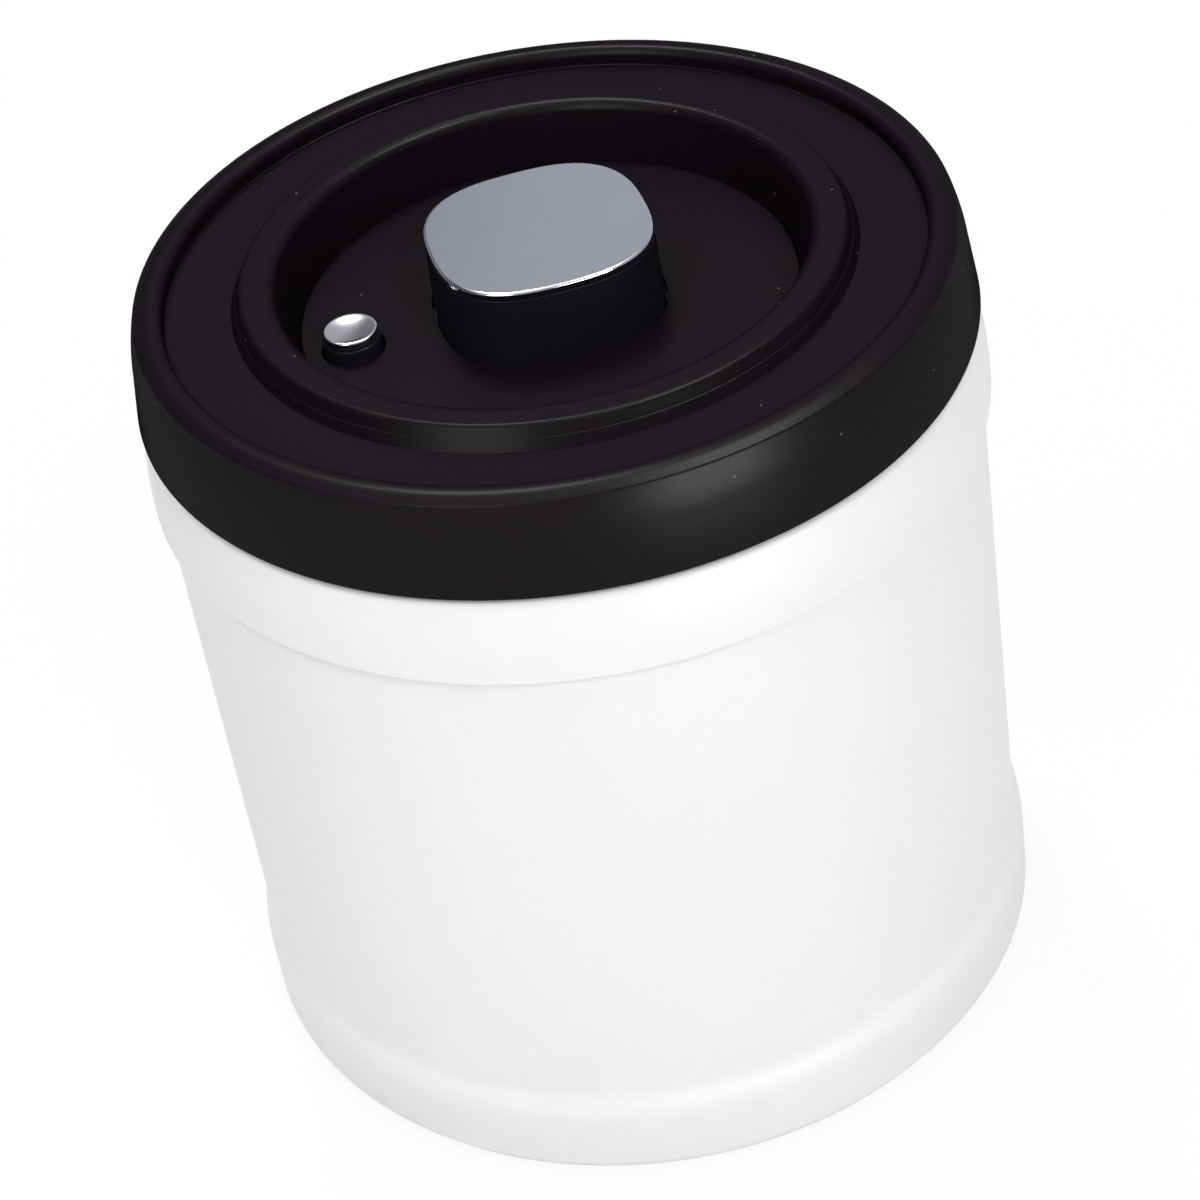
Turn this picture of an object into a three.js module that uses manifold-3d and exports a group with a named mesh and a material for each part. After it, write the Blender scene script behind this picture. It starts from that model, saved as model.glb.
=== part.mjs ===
// Airtight coffee canister with a hand pump in its lid.
// Millimetres, +Z up. The origin is the middle of the foot, on the surface that the canister stands on.
// The release button lies on -X of the axis, and the press button's sides lie square to X and Y.

import * as THREE from 'three';
import { mergeVertices } from 'three/addons/utils/BufferGeometryUtils.js';
import Module from 'manifold-3d';

const wasm = await Module();
wasm.setup();

// Driving dimensions: canister body
const BODY_RADIUS = 63.3;          // outside of the straight wall
const BODY_WALL = 0.8;
const BAND_SWELL = 1.3;            // how far both bands stand out from the wall
const LOW_BAND_TOP = 17.9;         // height where the lower band leaves the wall
const LOW_BAND_HOLLOW = 8;         // radius of the hollow curve there
const LOW_BAND_ROUND = 10;         // radius of the round curve from there into the band's face
const TOP_BAND_MIDDLE = 103.4;     // height where the upper band is widest
const TOP_BAND_CURVE = 50;
const TOP_BAND_DROP = 1.55;        // from the band's middle down to its lower edge
const TOP_BAND_UNDERCUT = 0.35;    // how far its underside drops from that edge to the wall
const TOP_BAND_REACH = 11;         // from the band's middle up to where the shoulder starts
const SHOULDER_ROUND = 1.3;
const NECK_INSET = 2.7;            // neck's outside, in from the straight wall
const NECK_WALL = 1;
const NECK_HEIGHT = 11.1;          // from the shoulder to the mouth
const FOOT_ROUND = 1;              // rounding of the wall's lower edge
const FLANGE_WIDTH = 2.1;          // turned-in flange under the wall

// Driving dimensions: base
const FOOT_PROUD = 0.4;            // how far the rubber ring stands below the base plate
const BASE_WALL = 0.8;
const BASE_RISE = 2;               // step from the base plate's rim to its middle
const BASE_RIM_WIDTH = 6.9;
const BASE_INSET = 1.1;            // base plate's rim, in from the lower band
const FOOT_RING_WIDTH = 4.5;

// Driving dimensions: lid cover
const SKIRT_PROUD = 0.6;           // foot of the skirt, out from the straight wall
const SKIRT_GAP = 0.8;             // between the shoulder and the foot of the skirt
const SKIRT_WALL = 1.6;
const SKIRT_DRAW = 1.1;            // how far the skirt's inside draws in from its foot to its top
const SKIRT_CURVE = 28;            // radius of the curve that bends the skirt in towards the rim
const SKIRT_STEEP = 1.48;          // angles from level of the skirt's surface at the ends of that curve
const SKIRT_BENT = 1.25;
const COVER_WALL = 2;
const RIM_RISE = 2.95;             // rim's top above the annulus
const RIM_INSET = 4.15;            // where the rim's flat top ends, in from the foot of the skirt
const RIM_CREASE = 1.2;            // radius of the crease between the flat top and the slope outside it
const RIM_SLOPE = 0.47;            // angle of that slope from level
const RIM_SLOPE_LENGTH = 1.3;
const RIM_EDGE = 0.8;              // radius of the edge between the slope and the skirt
const RIM_LIP = 1.5;               // radius of the rim's inner edge
const RIM_WIDTH = 2.5;             // rim's inner wall, in from where its flat top ends
const RING_RISE = 3.35;            // raised ring's top above the annulus
const RING_WALL_RISE = 1.95;       // upright part of the ring's outer side
const RING_CHAMFER = 2;
const RING_LIP = 1.2;              // radius of the ring's inner edge
const RING_WIDTH = 7.2;            // ring's upright outer side, out from the top of the well
const WELL_DEPTH = 5.9;            // well floor below the annulus
const WELL_FLARE = 2.1;            // how far the well widens from its floor to its lip
const WELL_WALL = 2.1;

// Driving dimensions: pump and press button
const BUTTON_HALF = 16.85;         // half of the button's width where it meets the well floor
const BUTTON_POWER = 2.7;          // power of the superellipse that rounds its outline
const BUTTON_RISE = 12.3;          // button's top above the well floor
const BUTTON_TAPER = 0.03;         // how much its half width shrinks per millimetre of height
const BUTTON_WALL = 1.8;
const BUTTON_GAP = 0.35;           // around the button in the well floor
const CAP_THICKNESS = 1;
const CAP_ROUND = 0.6;
const DECK_WALL = 1.5;
const PRESS_TRAVEL = 9;
const PISTON_HEIGHT = 4.6;
const PISTON_KEEP = 0.2;           // how far the piston reaches past the corners of the opening
const PISTON_PLAY = 0.4;           // between the piston and its cylinder
const CYLINDER_WALL = 1.5;
const RING_SECTION = 1.4;          // height and width of the piston seal
const SPRING_RADIUS = 13;
const SPRING_WIRE = 1.1;           // wire thickness
const SPRING_TURNS = 4;
const SPRING_SLOT = 4;             // width of the groove in the piston
const SPRING_SLOT_DEPTH = 2.8;
const VALVE_STEM = 1.2;            // radius of the umbrella valves' stems
const VALVE_HEAD = 1.2;            // height of their heads
const VALVE_BULB = 1.5;            // height of the bulbs that hold them in
const VALVE_BULB_RADIUS = 1.8;
const FLAP_EDGE = 0.4;             // thickness of a flap at its edge
const INTAKE_FLAP = 8;
const EXHAUST_FLAP = 5.1;
const AIR_HOLE = 0.9;              // radius of the air holes under the flaps
const AIR_HOLES = 4;
const PISTON_SCREW_PLACE = 8.2;    // piston screws' distance from the axis
const ORING_SECTION = 1.8;

// Driving dimensions: release button
const RELEASE_SPACING = 9.3;       // its axis, out from the pump cylinder
const RELEASE_RADIUS = 4.35;
const RELEASE_PLAY = 0.45;         // around the button in its hole
const RELEASE_TRAVEL = 2;          // also how far its black part stands above the well floor
const RELEASE_CAP_INSET = 0.2;
const RELEASE_CAP_HEIGHT = 1.1;
const RELEASE_DISH = 0.5;
const RELEASE_STEM = 1.5;
const GUIDE_WALL = 1.05;
const GUIDE_FLOOR = 1.4;
const RELEASE_BODY_HEIGHT = 4.5;   // black part, from its underside to its top
const RELEASE_SPRING_WIRE = 0.7;
const RELEASE_SPRING_TURNS = 4;
const VENT_RADIUS = 2.4;
const SEAL_THICKNESS = 1.5;
const SEAL_OVERLAP = 1.8;          // seal's radius past the vent's
const CLIP_WALL = 0.8;
const CLIP_GRIP = 1;               // how far the clip reaches up the stem

// Driving dimensions: plug, gasket and screws
const PLUG_GAP = 1.6;              // between the plug and the neck
const PLUG_WALL = 1.6;
const PLUG_HEIGHT = 16.3;
const GROOVE_DEPTH = 2.2;
const GROOVE_HEIGHT = 5.6;
const GROOVE_DROP = 4.1;           // groove's top below the plug's top
const GASKET_CLEARANCE = 0.4;      // between the gasket's lips and the neck
const POST_RADIUS = 3;
const LID_SCREWS = 4;
const LID_SCREW_LENGTH = 10;
const SCREW_SHANK = 1.3;
const SCREW_HEAD = 2.75;           // radius
const SCREW_HEAD_HEIGHT = 1.6;
const PISTON_SCREW_SHANK = 0.95;
const PISTON_SCREW_HEAD = 1.9;     // radius
const PISTON_SCREW_HEAD_HEIGHT = 1.25;
const PISTON_SCREW_LENGTH = 9;
const PISTON_POST_RADIUS = 2.5;

// Fits
const SEAT = 0.3;                  // between a piece and the one that carries it
const SINK = 0.5;                  // how far joined shapes run into each other

// Facets round a full turn
const ROUND = 48;
const INNER = 36;
const SQUARISH = 40;
const SMALL = 20;
const TINY = 12;

// Radii and heights that follow from the driving dimensions
const bandRadius = BODY_RADIUS + BAND_SWELL;
const lowBandLean = Math.acos(1 - BAND_SWELL / (LOW_BAND_HOLLOW + LOW_BAND_ROUND));
const lowBandFull = LOW_BAND_TOP - (LOW_BAND_HOLLOW + LOW_BAND_ROUND) * Math.sin(lowBandLean);
const topBandFoot = TOP_BAND_MIDDLE - TOP_BAND_DROP;
const shoulderStart = TOP_BAND_MIDDLE + TOP_BAND_REACH;
const shoulderTilt = TOP_BAND_REACH / TOP_BAND_CURVE;
const shoulderRadius = topBandRadius(shoulderStart) - SHOULDER_ROUND * Math.cos(shoulderTilt);
const shoulderCentre = shoulderStart - SHOULDER_ROUND * Math.sin(shoulderTilt);
const shoulder = shoulderCentre + SHOULDER_ROUND;
const neckOuter = BODY_RADIUS - NECK_INSET;
const neckInner = neckOuter - NECK_WALL;
const mouth = shoulder + NECK_HEIGHT;

const baseRim = FOOT_PROUD + BASE_WALL;
const shellFoot = baseRim + SEAT;
const baseUnder = FOOT_PROUD + BASE_RISE;
const baseRadius = bandRadius - BASE_INSET;
const baseStep = baseRadius - BASE_RIM_WIDTH;

const skirtRadius = BODY_RADIUS + SKIRT_PROUD;
const skirtFoot = shoulder + SKIRT_GAP;
const coverUnder = mouth + SEAT;
const annulus = coverUnder + COVER_WALL;
const rimTop = annulus + RIM_RISE;
const ringTop = annulus + RING_RISE;
const wellFloor = annulus - WELL_DEPTH;
const deckUnder = wellFloor - DECK_WALL;
const ledge = deckUnder - SEAT;

const opening = BUTTON_HALF + BUTTON_GAP;
const pistonRadius = opening * Math.pow(2, 0.5 - 1 / BUTTON_POWER) + PISTON_KEEP;
const bore = pistonRadius + PISTON_PLAY;
const cylinderOuter = bore + CYLINDER_WALL;
const pistonTop = deckUnder - SEAT;
const pistonFoot = pistonTop - PISTON_HEIGHT;
const pistonScrewSeat = pistonFoot + PISTON_HEIGHT / 2;
const cylinderFloor = pistonFoot - PRESS_TRAVEL - VALVE_BULB - VALVE_HEAD - 4 * SEAT;
const cylinderFoot = cylinderFloor + SEAT;
const baseCupFoot = cylinderFloor - CYLINDER_WALL;
const baseCupRadius = cylinderOuter + SEAT + CYLINDER_WALL;
const buttonTop = wellFloor + BUTTON_RISE;
const capFoot = buttonTop - CAP_THICKNESS;
const shellTop = capFoot - SEAT;
const shellBottom = pistonTop + SEAT;

const guideBore = RELEASE_RADIUS + RELEASE_PLAY;
const guideOuter = guideBore + GUIDE_WALL;
const releasePlace = cylinderOuter + RELEASE_SPACING;
const ledgeInner = releasePlace + guideOuter + SEAT;
const deckRadius = ledgeInner + DECK_WALL - SEAT;
const wellRadius = deckRadius + SEAT;
const lipRadius = wellRadius + WELL_FLARE;
const ringRadius = lipRadius + RING_WIDTH;

const plugRadius = neckInner - PLUG_GAP;
const plugTop = coverUnder - SEAT;
const plugFoot = plugTop - PLUG_HEIGHT;
const plateTop = plugFoot + PLUG_WALL;
const grooveTop = plugTop - GROOVE_DROP;
const grooveFoot = grooveTop - GROOVE_HEIGHT;
const plugInner = plugRadius - GROOVE_DEPTH - PLUG_WALL;
const plugHole = cylinderOuter + ORING_SECTION + 2 * SEAT;
const wellOuterTop = lipRadius + WELL_WALL - RING_LIP;
const wellOuterFoot = wellRadius + WELL_WALL;
const screwCircle = (plugInner + wellOuterTop) / 2;

function topBandRadius(height) {
  const away = height - TOP_BAND_MIDDLE;
  return bandRadius - away * away / (2 * TOP_BAND_CURVE);
}

// The lower band's two curves from its face up to the wall, on the outside or a depth inside it.
function lowBand(depth, steps) {
  const round = arc(bandRadius - LOW_BAND_ROUND, lowBandFull, LOW_BAND_ROUND - depth, 0, lowBandLean, steps);
  const hollowFrom = Math.PI + lowBandLean;
  const hollowRadius = LOW_BAND_HOLLOW + depth;
  const hollow = arc(BODY_RADIUS + LOW_BAND_HOLLOW, LOW_BAND_TOP, hollowRadius, hollowFrom, Math.PI, steps);
  return [...round, ...hollow.slice(1)];
}

// Geometry helpers

// Points of an arc in the (radius, height) plane, from one angle to another, ends included.
function arc(centreRadius, centreHeight, radius, from, to, steps) {
  const points = [];
  for (let i = 0; i <= steps; i++) {
    const angle = from + (to - from) * i / steps;
    points.push([centreRadius + radius * Math.cos(angle), centreHeight + radius * Math.sin(angle)]);
  }
  return points;
}

// Points of a curve given as radius against height.
function curve(radiusAt, from, to, steps) {
  const points = [];
  for (let i = 0; i <= steps; i++) {
    const height = from + (to - from) * i / steps;
    points.push([radiusAt(height), height]);
  }
  return points;
}

// One closed skin: shared vertices are merged and triangles of no area are dropped.
function closed(geometry) {
  geometry.deleteAttribute('normal');
  geometry.deleteAttribute('uv');
  const merged = mergeVertices(geometry);
  const kept = [];
  const index = merged.getIndex().array;
  for (let i = 0; i < index.length; i += 3) {
    const [a, b, c] = [index[i], index[i + 1], index[i + 2]];
    if (a !== b && b !== c && c !== a) {
      kept.push(a, b, c);
    }
  }
  merged.setIndex(kept);
  merged.computeVertexNormals();
  return merged;
}

// A turned piece. The outline runs with the material on its left, and closes on itself or on the axis.
function turned(outline, facets, closes = true) {
  const points = outline.map(([radius, height]) => new THREE.Vector2(radius, height));
  if (closes) {
    points.push(points[0].clone());
  }
  const geometry = new THREE.LatheGeometry(points, facets);
  geometry.rotateX(Math.PI / 2);
  return closed(geometry);
}

function turnedOnAxis(outline, facets) {
  return turned(outline, facets, false);
}

// A turned piece whose rounds are drawn out to the press button's rounded-square outline.
function squarish(outline) {
  const geometry = turnedOnAxis(outline, SQUARISH);
  const position = geometry.getAttribute('position');
  for (let i = 0; i < position.count; i++) {
    const x = position.getX(i);
    const y = position.getY(i);
    const angle = Math.atan2(y, x);
    const powers = Math.pow(Math.abs(Math.cos(angle)), BUTTON_POWER)
      + Math.pow(Math.abs(Math.sin(angle)), BUTTON_POWER);
    const stretch = Math.pow(powers, -1 / BUTTON_POWER);
    position.setXY(i, x * stretch, y * stretch);
  }
  geometry.computeVertexNormals();
  return geometry;
}

// A plain round rod from one height to another.
function rod(radius, from, to, facets) {
  return turnedOnAxis([[0, from], [radius, from], [radius, to], [0, to]], facets);
}

function solidOf(geometry) {
  const vertProperties = new Float32Array(geometry.getAttribute('position').array);
  const triVerts = new Uint32Array(geometry.getIndex().array);
  return new wasm.Manifold(new wasm.Mesh({ numProp: 3, vertProperties, triVerts }));
}

function geometryOf(solid) {
  const mesh = solid.getMesh();
  const geometry = new THREE.BufferGeometry();
  geometry.setAttribute('position', new THREE.BufferAttribute(mesh.vertProperties, 3));
  geometry.setIndex(new THREE.BufferAttribute(mesh.triVerts, 1));
  geometry.computeVertexNormals();
  return geometry;
}

function join(geometry, others) {
  return geometryOf(others.reduce((solid, other) => solid.add(solidOf(other)), solidOf(geometry)));
}

function cut(geometry, others) {
  return geometryOf(others.reduce((solid, other) => solid.subtract(solidOf(other)), solidOf(geometry)));
}

// Places on a circle round the axis, as [x, y] pairs.
function ringPlaces(count, radius, start) {
  const places = [];
  for (let i = 0; i < count; i++) {
    const angle = start + 2 * Math.PI * i / count;
    places.push([radius * Math.cos(angle), radius * Math.sin(angle)]);
  }
  return places;
}

function rodsAt(places, radius, from, to) {
  return places.map(([x, y]) => rod(radius, from, to, TINY).translate(x, y, 0));
}

// A coil spring: one unbroken tube on a helix, with flat ends.
function spring(radius, wire, turns, foot, top) {
  const stepsPerTurn = 8;
  const sides = 5;
  const steps = turns * stepsPerTurn;
  const low = foot + wire / 2;
  const rise = top - wire / 2 - low;
  const centres = [];
  const position = [];
  for (let i = 0; i <= steps; i++) {
    const angle = 2 * Math.PI * i / stepsPerTurn;
    const out = new THREE.Vector3(Math.cos(angle), Math.sin(angle), 0);
    const centre = out.clone().multiplyScalar(radius).setZ(low + rise * i / steps);
    centres.push(centre);
    for (let k = 0; k < sides; k++) {
      const turn = 2 * Math.PI * k / sides;
      const side = out.clone().multiplyScalar(Math.cos(turn)).setZ(Math.sin(turn));
      position.push(...centre.clone().addScaledVector(side, wire / 2).toArray());
    }
  }
  const index = [];
  for (let i = 0; i < steps; i++) {
    for (let k = 0; k < sides; k++) {
      const a = i * sides + k;
      const b = i * sides + (k + 1) % sides;
      index.push(a, a + sides, b, b, a + sides, b + sides);
    }
  }
  const last = steps * sides;
  for (let k = 1; k < sides - 1; k++) {
    index.push(0, k, k + 1, last, last + k + 1, last + k);
  }
  printLeastGap(centres, wire, stepsPerTurn);
  const geometry = new THREE.BufferGeometry();
  geometry.setAttribute('position', new THREE.Float32BufferAttribute(position, 3));
  geometry.setIndex(index);
  geometry.computeVertexNormals();
  return geometry;
}

function printLeastGap(centres, wire, stepsPerTurn) {
  let least = Infinity;
  for (let i = 0; i < centres.length; i++) {
    for (let j = i + stepsPerTurn / 2; j < centres.length; j++) {
      least = Math.min(least, centres[i].distanceTo(centres[j]) - wire);
    }
  }
  console.log(`least gap between a spring's turns: ${least.toFixed(2)} mm`);
}

// An umbrella valve: a bulb below the plate, a stem through it and a domed flap on top.
function umbrellaValve(plateFoot, plateTopHeight, flapRadius) {
  const bulbTop = plateFoot - SEAT;
  const flapFoot = plateTopHeight + SEAT;
  return turnedOnAxis([
    [0, bulbTop - VALVE_BULB],
    [VALVE_STEM, bulbTop - VALVE_BULB],
    [VALVE_BULB_RADIUS, bulbTop],
    [VALVE_STEM, bulbTop],
    [VALVE_STEM, flapFoot],
    [flapRadius, flapFoot],
    [flapRadius, flapFoot + FLAP_EDGE],
    [VALVE_STEM, flapFoot + VALVE_HEAD],
    [0, flapFoot + VALVE_HEAD],
  ], SMALL);
}

// A pan-head screw that points up, with a cross recess. Its head hangs from the given height.
function screw(shank, length, headTop, headRadius, headHeight) {
  const headFoot = headTop - headHeight;
  const bevel = headHeight / 3;
  const body = turnedOnAxis([
    [0, headFoot],
    [headRadius - bevel, headFoot],
    [headRadius, headFoot + bevel],
    [headRadius, headTop],
    [shank, headTop],
    [shank, headTop + length - shank],
    [0, headTop + length],
  ], TINY);
  const slotWidth = shank / 2;
  const slotX = closed(new THREE.BoxGeometry(headRadius, slotWidth, headHeight).translate(0, 0, headFoot));
  const slotY = closed(new THREE.BoxGeometry(slotWidth, headRadius, headHeight).translate(0, 0, headFoot));
  return cut(body, [slotX, slotY]);
}

// Canister body

function bodyShell() {
  const footCentre = shellFoot + FOOT_ROUND;
  const wall = [
    ...arc(bandRadius - FOOT_ROUND, footCentre, FOOT_ROUND, -Math.PI / 2, 0, 2),
    ...lowBand(0, 3),
    [BODY_RADIUS, topBandFoot - TOP_BAND_UNDERCUT],
    ...curve(topBandRadius, topBandFoot, shoulderStart, 5),
  ];
  const shoulderArc = arc(shoulderRadius, shoulderCentre, SHOULDER_ROUND, shoulderTilt, Math.PI / 2, 3);
  const innerRound = SHOULDER_ROUND - BODY_WALL;
  const innerShoulder = arc(shoulderRadius, shoulderCentre, innerRound, Math.PI / 2, shoulderTilt, 1);
  const bandStep = topBandFoot + BODY_WALL;
  const bandInside = curve((height) => topBandRadius(height) - BODY_WALL, shoulderStart, bandStep, 2);
  const lipRound = NECK_WALL / 2;
  const flangeTop = shellFoot + BODY_WALL;
  const outline = [
    ...wall,
    ...shoulderArc.slice(1),
    [neckOuter, shoulder],
    ...arc(neckOuter - lipRound, mouth - lipRound, lipRound, 0, Math.PI, 2),
    [neckInner, shoulder - BODY_WALL],
    ...innerShoulder.slice(0, -1),
    ...bandInside,
    [BODY_RADIUS - BODY_WALL, bandStep - TOP_BAND_UNDERCUT],
    ...lowBand(BODY_WALL, 2).reverse(),
    [bandRadius - BODY_WALL, footCentre],
    [bandRadius - FOOT_ROUND, flangeTop],
    [bandRadius - FOOT_ROUND - FLANGE_WIDTH, flangeTop],
    [bandRadius - FOOT_ROUND - FLANGE_WIDTH, shellFoot],
  ];
  return turned(outline, ROUND);
}

function basePlate() {
  const edge = BASE_WALL / 2;
  return turnedOnAxis([
    [0, baseUnder],
    [baseStep, baseUnder],
    [baseStep, FOOT_PROUD],
    [baseRadius - edge, FOOT_PROUD],
    [baseRadius, FOOT_PROUD + edge],
    [baseRadius, baseRim],
    [baseStep + BASE_WALL, baseRim],
    [baseStep + BASE_WALL, baseUnder + BASE_WALL],
    [0, baseUnder + BASE_WALL],
  ], ROUND);
}

function footRing() {
  const outer = baseStep - SEAT;
  const inner = outer - FOOT_RING_WIDTH;
  const top = baseUnder - SEAT;
  const bevel = FOOT_PROUD / 2;
  return turned([
    [inner, 0],
    [outer - bevel, 0],
    [outer, bevel],
    [outer, top],
    [inner, top],
  ], ROUND);
}

// Lid

// Outside of the lid from the skirt's curve up to the rim's flat top, as arcs that run into each other.
function rimOutside() {
  const upright = Math.PI / 2;
  const slope = upright - RIM_SLOPE;
  const bent = upright - SKIRT_BENT;
  const steep = upright - SKIRT_STEEP;
  const crest = skirtRadius - RIM_INSET;
  const crestHeight = rimTop - RIM_CREASE;
  const inwards = RIM_CREASE - RIM_EDGE;
  const edgeRadius = crest + inwards * Math.cos(slope) + RIM_SLOPE_LENGTH * Math.sin(slope);
  const edgeHeight = crestHeight + inwards * Math.sin(slope) - RIM_SLOPE_LENGTH * Math.cos(slope);
  const curveRadius = edgeRadius - (SKIRT_CURVE - RIM_EDGE) * Math.cos(bent);
  const curveHeight = edgeHeight - (SKIRT_CURVE - RIM_EDGE) * Math.sin(bent);
  return [
    ...arc(curveRadius, curveHeight, SKIRT_CURVE, steep, bent, 3),
    ...arc(edgeRadius, edgeHeight, RIM_EDGE, bent, slope, 2).slice(1),
    ...arc(crest, crestHeight, RIM_CREASE, slope, upright, 2),
  ];
}

function lidCover() {
  const footBevel = SKIRT_WALL / 4;
  const upright = Math.PI / 2;
  const rimInner = skirtRadius - RIM_INSET - RIM_WIDTH;
  const rimFillet = RIM_RISE - RIM_LIP - SEAT / 2;
  const ledgeUnder = ledge - DECK_WALL;
  const outline = [
    [skirtRadius - SKIRT_WALL, skirtFoot],
    [skirtRadius - footBevel, skirtFoot],
    [skirtRadius, skirtFoot + footBevel],
    ...rimOutside(),
    ...arc(rimInner + RIM_LIP, rimTop - RIM_LIP, RIM_LIP, upright, Math.PI, 2),
    ...arc(rimInner - rimFillet, annulus + rimFillet, rimFillet, 0, -upright, 2),
    [ringRadius, annulus],
    [ringRadius, annulus + RING_WALL_RISE],
    [ringRadius - RING_CHAMFER, ringTop],
    ...arc(lipRadius + RING_LIP, ringTop - RING_LIP, RING_LIP, upright, Math.PI, 3),
    [wellRadius, wellFloor],
    [wellRadius, ledge],
    [ledgeInner, ledge],
    [ledgeInner, ledgeUnder],
    [wellOuterFoot, ledgeUnder],
    [wellOuterTop, coverUnder],
    [skirtRadius - SKIRT_WALL - SKIRT_DRAW, coverUnder],
  ];
  const places = ringPlaces(LID_SCREWS, screwCircle, Math.PI / LID_SCREWS);
  const postFoot = plateTop + SEAT;
  const holeTop = plugFoot - SEAT + LID_SCREW_LENGTH + SINK;
  const posts = rodsAt(places, POST_RADIUS, postFoot, coverUnder + SINK);
  const holes = rodsAt(places, SCREW_SHANK + SEAT, postFoot - SINK, holeTop);
  return cut(join(turned(outline, ROUND), posts), holes);
}

function pumpHousing() {
  const body = turnedOnAxis([
    [0, deckUnder],
    [bore, deckUnder],
    [bore, cylinderFoot],
    [cylinderOuter, cylinderFoot],
    [cylinderOuter, deckUnder],
    [deckRadius, deckUnder],
    [deckRadius, wellFloor],
    [0, wellFloor],
  ], INNER);
  const low = deckUnder - SINK;
  const high = wellFloor + SINK;
  const buttonOpening = squarish([[0, low], [opening, low], [opening, high], [0, high]]);
  const releaseOpening = rod(guideBore, low, high, SMALL).translate(-releasePlace, 0, 0);
  return cut(body, [buttonOpening, releaseOpening]);
}

function cylinderBase() {
  const cupInner = cylinderOuter + SEAT;
  const cupTop = plugFoot - ORING_SECTION / 2;
  const body = turnedOnAxis([
    [0, baseCupFoot],
    [baseCupRadius, baseCupFoot],
    [baseCupRadius, cupTop],
    [cupInner, cupTop],
    [cupInner, cylinderFloor],
    [0, cylinderFloor],
  ], INNER);
  const low = baseCupFoot - SINK;
  const high = cylinderFloor + SINK;
  const airCircle = (INTAKE_FLAP + VALVE_STEM) / 2;
  const airHoles = rodsAt(ringPlaces(AIR_HOLES, airCircle, 0), AIR_HOLE, low, high);
  return cut(body, [rod(VALVE_STEM + SEAT, low, high, TINY), ...airHoles]);
}

function cylinderOring() {
  const middle = cylinderOuter + SEAT + ORING_SECTION / 2;
  const height = plugFoot + ORING_SECTION / 2 - SEAT;
  const section = arc(middle, height, ORING_SECTION / 2, 0, 2 * Math.PI, 8);
  return turned(section.slice(0, -1), INNER);
}

function lidPlug() {
  const bevel = PLUG_WALL / 2;
  const body = turned([
    [plugHole, plugFoot],
    [plugRadius - bevel, plugFoot],
    [plugRadius, plugFoot + bevel],
    [plugRadius, grooveFoot],
    [plugRadius - GROOVE_DEPTH, grooveFoot],
    [plugRadius - GROOVE_DEPTH, grooveTop],
    [plugRadius, grooveTop],
    [plugRadius, plugTop],
    [plugInner, plugTop],
    [plugInner, plateTop],
    [plugHole, plateTop],
  ], INNER);
  const low = plugFoot - SINK;
  const high = plateTop + SINK;
  const places = ringPlaces(LID_SCREWS, screwCircle, Math.PI / LID_SCREWS);
  const vent = rod(VENT_RADIUS, low, high, TINY).translate(-releasePlace, 0, 0);
  return cut(body, [vent, ...rodsAt(places, SCREW_SHANK + SEAT, low, high)]);
}

function lidGasket() {
  const inner = plugRadius - GROOVE_DEPTH + SEAT;
  const body = plugRadius - SEAT;
  const tip = neckInner - GASKET_CLEARANCE;
  const foot = grooveFoot + SEAT;
  const top = grooveTop - SEAT;
  const tenth = (top - foot) / 10;
  return turned([
    [inner, foot],
    [body, foot],
    [tip, foot + 2 * tenth],
    [tip, foot + 3 * tenth],
    [body, foot + 4 * tenth],
    [body, foot + 6 * tenth],
    [tip, foot + 8 * tenth],
    [tip, foot + 9 * tenth],
    [body, top],
    [inner, top],
  ], INNER);
}

function releaseGuide() {
  const foot = plateTop + SEAT;
  const top = deckUnder - SEAT;
  const stemHole = RELEASE_STEM + 2 * SEAT;
  return turned([
    [stemHole, foot],
    [guideOuter, foot],
    [guideOuter, top],
    [guideBore, top],
    [guideBore, foot + GUIDE_FLOOR],
    [stemHole, foot + GUIDE_FLOOR],
  ], SMALL);
}

function lidScrew() {
  return screw(SCREW_SHANK, LID_SCREW_LENGTH, plugFoot - SEAT, SCREW_HEAD, SCREW_HEAD_HEIGHT);
}

// Press button

function buttonHalfAt(height) {
  return BUTTON_HALF - BUTTON_TAPER * Math.max(0, height - wellFloor);
}

function pistonScrewPlaces() {
  return ringPlaces(2, PISTON_SCREW_PLACE, 0);
}

function pressShell() {
  const roof = shellTop - BUTTON_WALL;
  const body = squarish([
    [0, roof],
    [buttonHalfAt(roof) - BUTTON_WALL, roof],
    [BUTTON_HALF - BUTTON_WALL, shellBottom],
    [BUTTON_HALF, shellBottom],
    [BUTTON_HALF, wellFloor],
    [buttonHalfAt(shellTop), shellTop],
    [0, shellTop],
  ]);
  const places = pistonScrewPlaces();
  const holeTop = pistonScrewSeat + PISTON_SCREW_LENGTH + SEAT;
  const posts = rodsAt(places, PISTON_POST_RADIUS, shellBottom, roof + SINK);
  const holes = rodsAt(places, PISTON_SCREW_SHANK + SEAT, shellBottom - SINK, holeTop);
  return cut(join(body, posts), holes);
}

function pressCap() {
  const edge = buttonHalfAt(buttonTop);
  return squarish([
    [0, capFoot],
    [buttonHalfAt(capFoot), capFoot],
    ...arc(edge - CAP_ROUND, buttonTop - CAP_ROUND, CAP_ROUND, 0, Math.PI / 2, 3),
    [0, buttonTop],
  ]);
}

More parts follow.
